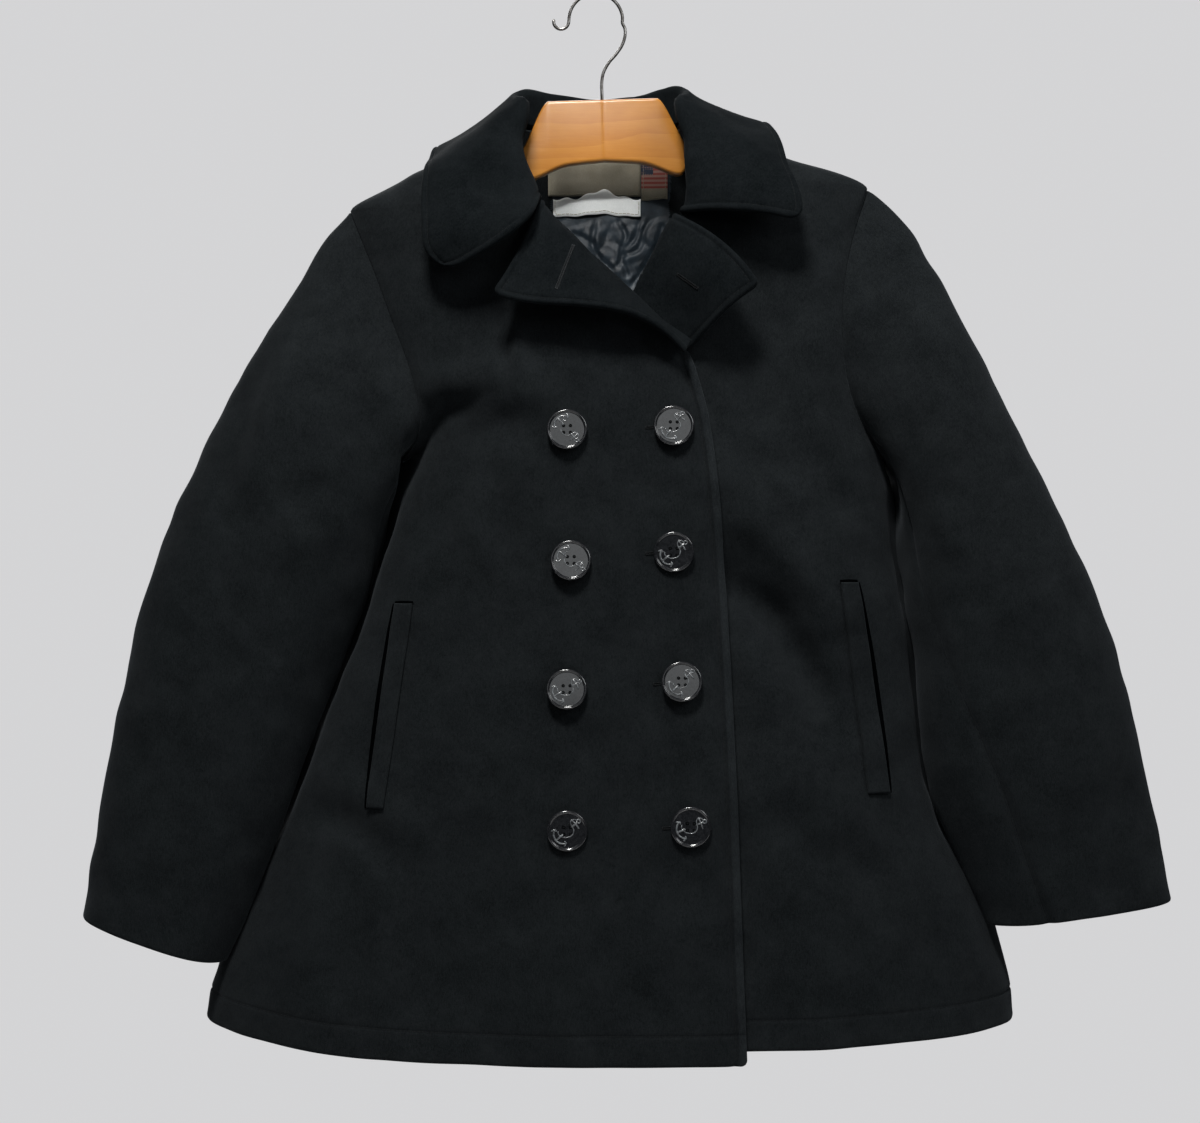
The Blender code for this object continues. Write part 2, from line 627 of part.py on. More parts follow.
def edge_point(side, z):
    """Point on a front's free edge, which is straight between two rows of its mesh."""
    rows = [level for level, _ in levels(side)]
    above = min(bisect.bisect_right(rows, z), len(rows) - 1)
    ends = rows[above - 1:above + 1]
    low, high = [body_point(side, FRONT, inner_angle(side, FRONT, row), row) for row in ends]
    share = (z - rows[above - 1]) / (rows[above] - rows[above - 1])
    return low * (1 - share) + high * share


def edge_frame(side, z):
    """On a front's free edge: the point, the way off the edge, and the way out of the cloth."""
    out = body_normal(side, FRONT, inner_angle(side, FRONT, z), z)
    run = edge_point(side, min(z + EDGE_STEP, NECK_Z)) - edge_point(side, z - EDGE_STEP)
    off = unit(np.cross(run, out)) * -side
    return edge_point(side, z), off, out


def ring_point(turn):
    """Point of the neck's top edge at a turn from the middle of the back."""
    side = RIGHT if turn < 0 else LEFT
    if abs(turn) <= QUARTER:
        return body_point(side, BACK, turn, NECK_Z)
    return body_point(side, FRONT, side * (math.pi - abs(turn)), NECK_Z)


def neckline_point(along):
    """Point of the coat's neckline, from the right gorge (0) round the back to the left gorge (1)."""
    share = COLLAR_FRONT_SHARE
    if along < share or along > 1 - share:
        side = RIGHT if along < share else LEFT
        return edge_point(side, neckline_z(side, along))
    first = -(math.pi - abs(inner_angle(RIGHT, FRONT, NECK_Z)))
    last = math.pi - abs(inner_angle(LEFT, FRONT, NECK_Z))
    return ring_point(first + (last - first) * (along - share) / (1 - 2 * share))


def neckline_z(side, along):
    """Height of the neckline where it runs up the edge of a front."""
    up = min((along if side == RIGHT else 1 - along) / COLLAR_FRONT_SHARE, 1.0)
    start = GORGE_Z[side] + GORGE_GAP
    return start + (NECK_Z - start) * up


def neckline_frame(along):
    """The collar's seam: the point, the way its stand rises and the way out of the cloth."""
    side = RIGHT if along < 0.5 else LEFT
    step = 0.02
    point = neckline_point(along)
    run = unit(neckline_point(min(along + step, 1.0)) - neckline_point(max(along - step, 0.0)))
    _, off, out = edge_frame(side, neckline_z(side, along))
    upright = smooth_step(*COLLAR_UPRIGHT_FROM, 0.5 - abs(along - 0.5))
    rise = off * (1 - upright) + np.array((0, 0, 1.0)) * upright
    rise = unit(rise - run * (rise @ run))
    to_corner = abs(abs(along - 0.5) - 0.5 + COLLAR_FRONT_SHARE) * COLLAR_STATIONS
    clear = (ROLL_GAP + DOUBLE / 2 * abs(rise @ out)) * (1 + CORNER_CLEAR * max(1 - to_corner, 0))
    outward = unit(np.cross(rise, run))
    seated = point - outward * DOUBLE / 2 * (1 - upright) + rise * clear
    return seated, rise, outward


def turned_section(seam, rise, out, stand, mid, leaf):
    """Middle of the cloth from its seam, up its stand, over its turn and down to its free edge."""
    points = [seam, seam + rise * stand / 2, seam + rise * stand]
    centre = points[-1] + out * TURN_RADIUS
    reach = mid - centre
    whole_turn = math.atan2(max(reach @ out, 0.0), reach @ rise)
    for i in range(TURN_STEPS):
        angle = whole_turn * (i + 1) / TURN_STEPS
        points.append(centre - out * TURN_RADIUS * math.cos(angle) + rise * TURN_RADIUS * math.sin(angle))
    start = points[-1]
    for i in range(FALL_STEPS):
        u = (i + 1) / FALL_STEPS
        points.append(start * (1 - u) * (1 - 2 * u) + mid * 4 * u * (1 - u) + leaf * u * (2 * u - 1))
    return points


def add_collar(finish):
    sections = []
    for station in range(COLLAR_STATIONS + 1):
        along = station / COLLAR_STATIONS
        seam, rise, out = neckline_frame(along)
        stand = COLLAR.read("stand", along)
        sections.append(turned_section(seam, rise, out, stand, COLLAR.point("mid", along),
                                       COLLAR.point("leaf", along)))
    grid = np.array(sections)
    normals = grid_normals(grid, (0, 1, 0))
    return add_wall("collar", grid + normals * DOUBLE / 2, grid - normals * DOUBLE / 2, finish)


def add_lapel(name, side, finish):
    sections = []
    for station in range(LAPEL_STATIONS + 1):
        along = station / LAPEL_STATIONS
        z = GORGE_Z[side] + (BREAK_Z[side] - GORGE_Z[side]) * along
        point, off, out = edge_frame(side, z)
        seam = point - out * DOUBLE / 2 + off * ROLL_GAP
        edge = LAPEL[side].point("edge", along)
        up_edge = unit(np.cross(off, out)) * side
        turned = seam + off * LAPEL_STAND + out * 2 * TURN_RADIUS
        mid = (turned + edge) / 2 + out * LAPEL[side].read("lift", along)
        mid = mid + up_edge * LAPEL[side].read("bow", along)
        sections.append(turned_section(seam, off, out, LAPEL_STAND, mid, edge))
    grid = np.array(sections)
    normals = grid_normals(grid, (0, -1, 0))
    return add_wall(name, grid + normals * DOUBLE / 2, grid - normals * DOUBLE / 2, finish)


# ---- What lies on the cloth ----

def surface_of(thing):
    bpy.context.view_layer.update()
    return BVHTree.FromObject(thing, bpy.context.evaluated_depsgraph_get())


def seat(surface, x, z, start_y):
    """Where a line towards +Y from a start first meets a surface, and the way out of it."""
    place, normal, _, _ = surface.ray_cast(Vector((x, start_y, z)), Vector((0, 1, 0)))
    return np.array(place), -unit(np.array(normal)) if normal.y > 0 else unit(np.array(normal))


def add_patch(name, surface, corners, steps, lift, wall, start_y, finish):
    """A thin piece lying on a surface between four corners: top two, then bottom two."""
    rows, columns = steps
    outer, inner = [], []
    top_start, top_end, bottom_start, bottom_end = [np.array(corner) for corner in corners]
    for r in range(rows + 1):
        start = top_start + (bottom_start - top_start) * r / rows
        end = top_end + (bottom_end - top_end) * r / rows
        seats = [seat(surface, *(start + (end - start) * c / columns), start_y) for c in range(columns + 1)]
        out = unit(sum(normal for _, normal in seats))
        inner.append([place + out * lift for place, _ in seats])
        outer.append([place + out * (lift + wall) for place, _ in seats])
    return add_wall(name, np.array(outer), np.array(inner), finish)


def button_mesh():
    """A turned disc with a raised rim and four sewing holes, facing +Z, its back at the origin."""
    shape = bmesh.new()
    rings = []
    for share, height in BUTTON_PROFILE:
        radius, z = share * BUTTON_RADIUS, height * BUTTON_THICKNESS
        if radius == 0:
            rings.append([shape.verts.new((0, 0, z))])
            continue
        turns = [2 * math.pi * i / BUTTON_SIDES for i in range(BUTTON_SIDES)]
        rings.append([shape.verts.new((radius * math.cos(t), radius * math.sin(t), z)) for t in turns])
    for lower, upper in zip(rings, rings[1:]):
        for i in range(BUTTON_SIDES):
            j = (i + 1) % BUTTON_SIDES
            corners = [lower[i % len(lower)], lower[j % len(lower)]]
            corners += [upper[j % len(upper)], upper[i % len(upper)]]
            shape.faces.new(list(dict.fromkeys(corners)))
    bmesh.ops.recalc_face_normals(shape, faces=shape.faces)
    mesh = bpy.data.meshes.new("button")
    shape.to_mesh(mesh)
    shape.free()
    return mesh


def drilled(mesh):
    """The button with its four sewing holes cut through."""
    blank = bpy.data.objects.new("button_blank", mesh)
    bpy.context.scene.collection.objects.link(blank)
    drills = bmesh.new()
    for x in (-0.5, 0.5):
        for y in (-0.5, 0.5):
            made = bmesh.ops.create_cone(drills, cap_ends=True, segments=HOLE_SIDES,
                                         radius1=BUTTON_HOLE_RADIUS, radius2=BUTTON_HOLE_RADIUS,
                                         depth=4 * BUTTON_THICKNESS)
            move = Vector((x * BUTTON_HOLE_SPACING, y * BUTTON_HOLE_SPACING, 0))
            bmesh.ops.translate(drills, verts=made["verts"], vec=move)
    drill_mesh = bpy.data.meshes.new("drills")
    drills.to_mesh(drill_mesh)
    drills.free()
    cutter = bpy.data.objects.new("button_cutter", drill_mesh)
    bpy.context.scene.collection.objects.link(cutter)
    cut = blank.modifiers.new("holes", "BOOLEAN")
    cut.operation = "DIFFERENCE"
    cut.object = cutter
    bpy.context.view_layer.update()
    whole = bpy.data.meshes.new_from_object(blank.evaluated_get(bpy.context.evaluated_depsgraph_get()))
    bpy.data.objects.remove(blank, do_unlink=True)
    bpy.data.objects.remove(cutter, do_unlink=True)
    whole.name = "button"
    whole.shade_smooth()
    whole.set_sharp_from_angle(angle=math.radians(30))
    return whole


def add_buttons(surface, finish):
    mesh = drilled(button_mesh())
    mesh.materials.append(finish)
    for name, x, z in BUTTONS:
        place, out = seat(surface, x, z, IN_FRONT)
        made = bpy.data.objects.new("button_" + name, mesh)
        bpy.context.scene.collection.objects.link(made)
        made.location = Vector(place + out * BUTTON_LIFT)
        made.rotation_mode = "QUATERNION"
        made.rotation_quaternion = Vector(out).to_track_quat("Z", "Y")


def add_lining(finish):
    """The lining of the back, inside the middle columns of both halves."""
    right = body_grids(RIGHT, BACK)[1][:, -LINING_COLUMNS - 1:]
    left = body_grids(LEFT, BACK)[1][:, :-LINING_COLUMNS - 2:-1][:, 1:]
    rows = [r for r, (z, _) in enumerate(levels(RIGHT)) if LINING_BOTTOM_Z < z < NECK_Z - 0.001]
    grid = np.concatenate((right[rows], left[rows]), axis=1)
    normals = grid_normals(grid, (0, -1, 0))
    outer = grid + normals * LINING_GAP
    return add_wall("back_lining", outer + normals * LINING, outer, finish)


# ---- Hanger ----

def hanger_outline(out):
    """Top and bottom of the board at a distance from its middle."""
    return HANGER.read("top", out), HANGER.read("bottom", out)


def add_hanger_board(finish):
    """Board with chamfered edges, from sections along its length."""
    half = HANGER_THICKNESS / 2
    sections = []
    stations = [-out for out in HANGER_STATIONS[:0:-1]] + list(HANGER_STATIONS)
    for out in stations:
        top, bottom = hanger_outline(abs(out))
        flat, high, low = half - HANGER_CHAMFER, top - HANGER_CHAMFER, bottom + HANGER_CHAMFER
        corners = ((-flat, top), (flat, top), (half, high), (half, low),
                   (flat, bottom), (-flat, bottom), (-half, low), (-half, high))
        sections.append([tilted(out, y, z) for y, z in corners])
    shape = bmesh.new()
    rings = [[shape.verts.new(point) for point in section] for section in sections]
    for before, after in zip(rings, rings[1:]):
        for i in range(8):
            j = (i + 1) % 8
            shape.faces.new((before[i], before[j], after[j], after[i]))
    shape.faces.new(rings[0])
    shape.faces.new(rings[-1])
    bmesh.ops.recalc_face_normals(shape, faces=shape.faces)
    mesh = bpy.data.meshes.new("hanger_board")
    shape.to_mesh(mesh)
    shape.free()
    mesh.shade_smooth()
    mesh.set_sharp_from_angle(angle=math.radians(30))
    return add_object("hanger_board", mesh, finish)


def tilted(out, y, z):
    """A point of the board after it has tilted about the foot of its hook."""
    high = z - HANGER_PIVOT_Z
    x = HANGER_X + out * math.cos(HANGER_TILT) + high * math.sin(HANGER_TILT)
    return (x, y, HANGER_PIVOT_Z - out * math.sin(HANGER_TILT) + high * math.cos(HANGER_TILT))


def hook_route():
    """Middle of the wire: up the neck, over the bend and round the curl at its end."""
    route = [Vector((x, 0, z)) for x, z in HOOK_NECK]
    for degrees in range(-6, 175, 12):
        turn = math.radians(degrees)
        route.append(Vector((HOOK_BEND_CENTRE[0] + HOOK_BEND_RADIUS * math.cos(turn), 0,
                             HOOK_BEND_CENTRE[1] + HOOK_BEND_RADIUS * math.sin(turn))))
    for degrees in range(-10, -215, -30):
        turn = math.radians(degrees)
        route.append(Vector((HOOK_CURL_CENTRE[0] + HOOK_CURL_RADIUS * math.cos(turn), 0,
                             HOOK_CURL_CENTRE[1] + HOOK_CURL_RADIUS * math.sin(turn))))
    return route


def add_hook(finish):
    data = bpy.data.curves.new("hanger_hook", "CURVE")
    data.dimensions = "3D"
    data.bevel_depth = HOOK_WIRE / 2
    data.bevel_resolution = 2
    data.use_fill_caps = True
    route = hook_route()
    spline = data.splines.new("POLY")
    spline.points.add(len(route) - 1)
    for point, place in zip(spline.points, route):
        point.co = (*place, 1.0)
    return add_object("hanger_hook", data, finish)


def build():
    remove_everything()
    wool = material("black_melton", WOOL_COLOUR, 0.9)
    satin = material("quilted_satin", LINING_COLOUR, 0.45)
    plastic = material("button_black", BUTTON_COLOUR, 0.2)
    label = material("label_cotton", LABEL_COLOUR, 0.85)
    care = material("label_white", CARE_COLOUR, 0.8)
    wood = material("varnished_wood", WOOD_COLOUR, 0.35)
    steel = material("hook_steel", STEEL_COLOUR, 0.35, 1.0)

    fronts = {}
    for side, word in ((RIGHT, "right"), (LEFT, "left")):
        fronts[side] = add_body_piece("front_" + word, side, FRONT, wool)
        add_body_piece("back_" + word, side, BACK, wool)
        add_sleeve_piece("top_sleeve_" + word, side, BACK_SEAM_STEP - SLEEVE_STEPS, FRONT_SEAM_STEP, wool)
        add_sleeve_piece("under_sleeve_" + word, side, FRONT_SEAM_STEP, BACK_SEAM_STEP, wool)
        add_lapel("lapel_" + word, side, wool)
        add_patch("pocket_welt_" + word, surface_of(fronts[side]), WELTS[side], WELT_STEPS, WELT_LIFT,
                  WELT_THICKNESS, IN_FRONT, wool)
    add_collar(wool)
    add_buttons(surface_of(fronts[RIGHT]), plastic)
    lining_surface = surface_of(add_lining(satin))
    for name, start_x, end_x, top, bottom in LABELS:
        corners = ((start_x, top), (end_x, top), (start_x, bottom), (end_x, bottom))
        add_patch(name, lining_surface, corners, LABEL_STEPS, LABEL_LIFT, LABEL_THICKNESS, INSIDE,
                  care if name == "care_label" else label)
    add_hanger_board(wood)
    add_hook(steel)


build()
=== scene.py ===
"""The looks of the pea coat and its hanger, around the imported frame.

Metres, in the frame's own axes: +Z up, the coat's front towards -Y. Right and left are the wearer's.
The skins of cloth repeat the forms that the solids were made from, with finer steps, creases, seams,
stitching and rounded edges. Sizes in the text tables are in millimetres.
"""
import math

import bmesh
import bpy
import numpy as np
from mathutils import Matrix, Vector
from mathutils.bvhtree import BVHTree


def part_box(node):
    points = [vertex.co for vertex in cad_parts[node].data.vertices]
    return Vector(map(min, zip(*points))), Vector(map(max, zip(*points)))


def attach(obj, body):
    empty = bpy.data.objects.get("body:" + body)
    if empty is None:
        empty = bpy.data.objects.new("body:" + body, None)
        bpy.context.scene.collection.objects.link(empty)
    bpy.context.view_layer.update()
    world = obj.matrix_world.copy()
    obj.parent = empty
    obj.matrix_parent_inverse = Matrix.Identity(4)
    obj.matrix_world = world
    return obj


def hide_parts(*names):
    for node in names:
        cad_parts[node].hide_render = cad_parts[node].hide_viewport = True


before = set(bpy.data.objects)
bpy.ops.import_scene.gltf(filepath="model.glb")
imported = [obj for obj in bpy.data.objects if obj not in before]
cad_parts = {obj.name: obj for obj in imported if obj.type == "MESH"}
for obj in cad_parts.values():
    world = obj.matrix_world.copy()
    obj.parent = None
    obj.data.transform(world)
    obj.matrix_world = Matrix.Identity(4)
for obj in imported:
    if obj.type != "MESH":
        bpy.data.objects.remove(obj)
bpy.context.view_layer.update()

RIGHT, LEFT = -1, 1
FRONT, BACK = "front", "back"
SIDE_WORD = {RIGHT: "right", LEFT: "left"}
QUARTER, WHOLE = math.pi / 2, 2 * math.pi
MM = 0.001
MELTON_SLOT = "black_melton"
EDGES = "first_column", "last_column", "first_row", "last_row"
FIRST_COLUMN, LAST_COLUMN, FIRST_ROW, LAST_ROW = EDGES
TO_FRONT, TO_BACK, UP = np.array(((0, -1.0, 0), (0, 1.0, 0), (0, 0, 1.0)))

# Cloth
CLOTH = 2.6 * MM            # one layer of melton
TURNED = 4.4 * MM           # two layers, at the hem, the cuffs and the front edges
DOUBLE = 4.5 * MM           # collar and lapels
ROLL_GAP = 0.3 * MM         # between a front's edge and what turns over it
TURN_RADIUS = 3.4 * MM
OVAL = 0.92                 # how square a sleeve's section is

# Heights
NECK_Z, ARMPIT_Z, HEM_Z = -0.106, -0.3845, -0.8345
HEM_DROP_FROM_Z = -0.60
TIP_Z = {RIGHT: -0.1776, LEFT: -0.1595}
GORGE_Z = {RIGHT: -0.180, LEFT: -0.1905}
BREAK_Z = {RIGHT: -0.2958, LEFT: -0.312}
BREAK_CLEAR = 12 * MM       # the straight edge's stitches and rim start this far below the break
HEM_DROP = {(RIGHT, FRONT): 0.0225, (LEFT, FRONT): 0.0120, (RIGHT, BACK): 0.010, (LEFT, BACK): 0.010}

# Counts that set where the seams lie, and the fineness of the grids that the skins are read from
ROWS_AT_ARMHOLE, COLLAR_STATIONS = 11, 30
FINE_STATIONS, FINE_COLUMNS, FINE_SLEEVE_ROWS, FINE_PER_STEP, FINE_TURNS = 180, 120, 170, 8, 97
STAND_STEPS, TURN_STEPS, FALL_STEPS = 10, 16, 44
FINE_ROWS_BELOW, FINE_ROWS_AT_ARMHOLE, FINE_ROWS_ABOVE = 150, 70, 24
PATH_STEPS = 8
LINES_SHARE = 0.45          # most of a row that the set distances from one end may take
CLOTH_STEP, COLLAR_STEP = 4.2 * MM, 3.6 * MM    # between the points of a skin away from its edges

# Edges, seams and rows of stitches
EDGE_ROUNDING, EDGE_CLOSING = 1.25, 0.90    # a free edge's round, as shares of the half thickness
SEAM_DEPTH, SEAM_WIDTH = 1.0 * MM, 4.4 * MM
SEAM_FADE = 7 * MM          # creases fade out towards a seam over this distance
ARMHOLE_LAP, ARMHOLE_TUCK = 2.7 * MM, 1.3 * MM     # a sleeve's top goes on into the body: in and under
SLEEVE_SEAM = {RIGHT: 0.4 * MM, LEFT: 1.7 * MM}
COLLAR_STITCH = 5.6 * MM    # from the edges of the collar and lapels
STITCH_GROOVE, STITCH_GROOVE_WIDTH, RIM_FULLNESS = 0.75 * MM, 1.1 * MM, 0.35 * MM
EDGE_STITCH = 8.8 * MM      # from the fronts' straight edges, where the groove and rim are larger
EDGE_GROOVE, EDGE_GROOVE_WIDTH, EDGE_FULLNESS = 1.5 * MM, 2.8 * MM, 0.8 * MM
EDGE_SWELL, EDGE_SWELL_AT, EDGE_SWELL_WIDTH = 0.5 * MM, 16 * MM, 4.5 * MM
RIM_AT, RIM_SPREAD = 0.45, 0.35             # the fullest place and the width of a rim, as shares of its width
HIGHLIGHT_RIM_FROM, HIGHLIGHT_RIM_TO = 0.8 * MM, 6.4 * MM       # painted highlight: the wool is painted paler along the rim of the fronts' edges, where their ridge catches the light
HEM_STITCH = 24.0 * MM
STITCH_PITCH, STITCH_LENGTH, THREAD_RADIUS = 3.4 * MM, 2.5 * MM, 0.22 * MM
CREASE_FRONT_Y, CREASE_BACK_Y = -0.030, 0.010      # creases fade out between the front and the back
CREASE_END = 0.7            # how soon a crease has its full height

# Slow unevenness that any hanging cloth has: wave lengths in each direction, height and shift, and how
# much and how slowly the waves bend
UNEVEN_WAVES = (((0.071, 0.093, 0.118), 0.00045, 0.4), ((-0.102, 0.080, 0.083), 0.00040, 2.1),
                ((0.047, -0.110, 0.064), 0.00026, 4.0), ((0.150, 0.120, -0.052), 0.00030, 5.2))
UNEVEN_BEND, UNEVEN_BEND_RATE = 1.3, 0.37

# The sleeves lean on the coat's sides: over these rows, this far round, and past its edge by this much
PRESS_ROWS, PRESS_TURN = (-0.4, 0.7), 0.46
PRESS_PAST, PRESS_MOST = 5.5 * MM, 15 * MM
EVEN_TURNS, EVEN_PRESS = 15, 10              # over how many rows each way it is evened
# The valley where they press the coat's sides in
SIDE_VALLEY, SIDE_VALLEY_AT, SIDE_VALLEY_WIDTH = 8.0 * MM, 24 * MM, 14 * MM
SIDE_VALLEY_START, SIDE_VALLEY_END = (ARMPIT_Z + 0.005, ARMPIT_Z - 0.07), (-0.745, -0.655)
VIEW_X, VIEW_Y, VIEW_Z = 0.0033, -1.9, -0.4645

# Rounds of the corners
COLLAR_ROUND, LAPEL_ROUND = {RIGHT: 21 * MM, LEFT: 13 * MM}, {RIGHT: 7.5 * MM, LEFT: 6 * MM}
HEM_CORNER_ROUND = 5 * MM

# Colours, as linear values
WOOL_DARK, WOOL_LIGHT = (0.0022, 0.0032, 0.0038), (0.0108, 0.0130, 0.0142)
COLLAR_SHADED_DARK, COLLAR_SHADED_PALE = (0.0016, 0.0024, 0.0029), (0.0078, 0.0096, 0.0106)   # painted shade: a darker copy of the wool for the collar and lapels, which face the lamps more
# Painted highlight along the rim of the fronts' edges: a paler copy of the wool
RIM_HIGHLIGHT_DARK, RIM_HIGHLIGHT_PALE = (0.0036, 0.0050, 0.0059), (0.0168, 0.0200, 0.0218)
# Near-black wool laid as painted shade in the pockets' mouths
SHADE_DARK, SHADE_LIGHT = (0.0002, 0.0003, 0.0004), (0.0012, 0.0014, 0.0016)
WOOL_SHEEN, COLLAR_SHEEN, SHEEN_TINT = 0.030, 0.012, (0.80, 0.90, 1.0)
SATIN_DARK, SATIN_LIGHT = (0.007, 0.011, 0.015), (0.026, 0.038, 0.049)
BUTTON_DARK, BUTTON_WORN = (0.0055, 0.0060, 0.0070), (0.016, 0.017, 0.019)
# Painted highlight: the buttons' relief is much paler than the buttons, for the light its raised lines catch
RELIEF_HIGHLIGHT_DARK, RELIEF_HIGHLIGHT_PALE = (0.050, 0.054, 0.058), (0.20, 0.215, 0.225)
THREAD_BLACK, LAPEL_THREAD = (0.0035, 0.0042, 0.0048), (0.022, 0.024, 0.026)
LABEL_PLAIN, LABEL_SHADE = (0.37, 0.34, 0.265), (0.29, 0.265, 0.195)
CARE_PLAIN, CARE_SHADE = (0.88, 0.90, 0.88), (0.76, 0.78, 0.76)
FLAG_RED, FLAG_WHITE, FLAG_BLUE = (0.33, 0.070, 0.055), (0.40, 0.23, 0.19), (0.030, 0.042, 0.075)
FLAG_FOOT, FLAG_FIELD, FLAG_STRIPES, FLAG_FIELD_STRIPES = 0.30, 0.45, 13.0, 6
WOOD_DARK, WOOD_MID, WOOD_LIGHT = (0.30, 0.108, 0.013), (0.37, 0.146, 0.020), (0.43, 0.184, 0.031)
STEEL_DARK, STEEL_MID = (0.10, 0.09, 0.08), (0.34, 0.33, 0.32)
FLOOR_TONE, BACKDROP, AMBIENT = (0.62, 0.62, 0.63), (0.66, 0.66, 0.67), (0.036, 0.039, 0.043)


def smooth_step(start, end, at):
    u = np.clip((at - start) / (end - start), 0.0, 1.0)
    return u * u * (3 - 2 * u)


def unit(vectors):
    return vectors / np.maximum(np.linalg.norm(vectors, axis=-1, keepdims=True), 1e-12)


def bell(off, width):
    return np.exp(-(off / width) ** 2)


def rows_of(text):
    """Rows of numbers in a text, one to a line or parted by semicolons."""
    return [np.array(row.split(), float) for row in text.replace("\n", ";").split(";") if row.strip()]


def strokes(text):
    """Lines on the cloth, one to a row: the points (x, z) of each, its width and its height."""
    return [(row[:-2].reshape(-1, 2), *row[-2:]) for row in (row * MM for row in rows_of(text))]


class Table:
    """Rows of sizes under named columns, read smoothly between rows by the first column.

    Columns with a star are shares, counts or degrees, and stay as written.
    """

    def __init__(self, columns, text):
        values = np.array(sorted(map(tuple, rows_of(text)))).T
        self.columns = {name.strip("*"): column * (1 if "*" in name else MM)
                        for name, column in zip(columns.split(), values)}
        self.at = next(iter(self.columns.values()))

    def read(self, name, at):
        """Values on the smooth curve through a column, which never overshoots its points."""
        xs, ys = self.at, self.columns[name]
        secants = np.diff(ys) / np.diff(xs)
        product, total = secants[:-1] * secants[1:], secants[:-1] + secants[1:]
        inner = np.where(product > 0, 2 * product / np.where(product > 0, total, 1.0), 0.0)
        slopes = np.concatenate((secants[:1], inner, secants[-1:]))
        i = np.clip(np.searchsorted(xs, at, side="right") - 1, 0, len(xs) - 2)
        step = xs[i + 1] - xs[i]
        u = np.clip((at - xs[i]) / step, 0.0, 1.0)
        rise = u * u * (3 - 2 * u)
        pull = step * (u * (1 - u) ** 2 * slopes[i] + u * u * (u - 1) * slopes[i + 1])
        return ys[i] * (1 - rise) + ys[i + 1] * rise + pull

    def point(self, name, at):
        return np.stack([self.read(f"{name}_{axis}", at) for axis in "xyz"], axis=-1)


# Creases of each panel, on its front and back
CREASES = {
    (RIGHT, FRONT): {FRONT: strokes("""
-204 -478 -166 -404 -148 -374 -125 -351 -100 -341 -68 -322 14.5 -12
-165 -356 -128 -322 -98 -318 -72 -300 13 3.6; -150 -416 -126 -384 -94 -374 -56 -356 14 3
-80 -385 -76 -430 -66 -478 13 -3.6; -100 -400 -96 -440 -86 -485 12 2.2; -52 -400 -50 -440 -40 -490 12 1.6
-71.5 -262 -73.5 -290 -72 -322 7 -4.6; -58 -268 -61 -296 -59 -324 8 2.4
-236 -655 -190 -676 -138 -712 14 -5.2; -228 -628 -186 -648 -128 -684 14 3
-50 -560 -20 -602 30 -622 18 -2.6; -215 -720 -226 -780 -238 -845 17 3.6
-180 -725 -186 -790 -192 -850 15 -3; -130 -740 -134 -800 -136 -860 20 -2.8
-40 -730 -30 -790 -32 -868 22 2.4; 30 -395 52 -410 72 -404 10 -2.2; -10 -430 18 -446 50 -440 12 1.8
20 -690 60 -716 100 -722 16 -2.2""")},
    (LEFT, FRONT): {FRONT: strokes("""
62 -448 105 -481 135.5 -502 160 -536 176 -565 185 -588 12 -11.5
110 -425 136 -446 168 -482 198 -520 13 4.2; 112 -520 126 -550 146 -592 12 3
112 -372 138 -386 160 -384 13 -3.2; 205 -425 185 -402 150 -350 13 -3.6; 214 -452 190 -432 170 -400 11 2.8
128 -596 162 -640 206 -662 18 4.2; 130 -655 176 -694 262 -712 17 -4.4; 250 -716 262 -770 280 -842 17 -3.6
160 -745 166 -800 168 -855 20 3; 212 -735 222 -790 228 -850 16 2.4""")},
    BACK: {BACK: strokes("""
-150 -330 -110 -318 -60 -330 11 -3; -160 -372 -128 -352 -85 -352 12 2.4
215 -345 170 -325 110 -334 12 -3.2; 222 -392 182 -366 140 -366 12 2.2; -90 -430 -50 -470 -6 -474 16 2.4
120 -442 86 -486 30 -500 16 -2.6; -190 -570 -130 -602 -60 -606 16 -2.6; 246 -590 190 -622 110 -630 18 2.8
-150 -660 -160 -750 -172 -842 20 3.2; -80 -640 -88 -740 -92 -842 18 -2.6; 110 -660 122 -750 126 -842 19 -3
200 -640 226 -740 240 -842 19 3""")},
    (RIGHT, "sleeve"): {FRONT: strokes("""
-232 -270 -258 -345 -276 -430 12 6; -258 -282 -284 -360 -300 -440 13 -3.4
-190 -420 -220 -408 -250 -424 11 -2.4; -200 -452 -232 -446 -262 -470 11 2
-350 -500 -318 -530 -276 -548 14 -2; -356 -560 -326 -596 -290 -612 15 2
-330 -640 -346 -700 -350 -750 15 1.6"""), BACK: strokes("""
-200 -400 -240 -392 -272 -410 11 -2.4; -240 -480 -290 -484 -326 -462 13 2.2
-270 -560 -320 -566 -356 -546 14 -2.4""")},
    (LEFT, "sleeve"): {FRONT: strokes("""
262 -252 292 -320 318 -400 15 2.4; 250 -420 282 -412 312 -432 11 -2.2; 262 -460 296 -452 330 -476 12 2
392 -520 356 -548 316 -560 15 -1.8; 420 -590 386 -622 352 -634 15 1.8; 400 -640 412 -690 418 -730 15 -1.4
"""), BACK: strokes("""
262 -404 300 -396 330 -412 11 -2.4; 290 -480 340 -486 374 -462 13 2.2
320 -570 370 -576 406 -552 14 -2.2""")},
}

# Largest folds, ridges or troughs
FOLDS = {FRONT: strokes("""
-150 -340 -62 -328 24 8; -158 -402 -75 -356 18 -9; -140 -470 -60 -400 30 4; 118 -470 190 -585 26 -9
95 -395 190 -475 30 5; 120 -640 170 -700 40 5; -190 -690 -215 -850 35 6; -90 -700 -100 -860 30 -4
205 -720 230 -850 30 -5"""), BACK: strokes("""
-110 -330 -170 -860 35 9; -45 -520 -70 -860 30 -6; 150 -340 200 -860 35 8; 70 -560 90 -860 30 -6""")}

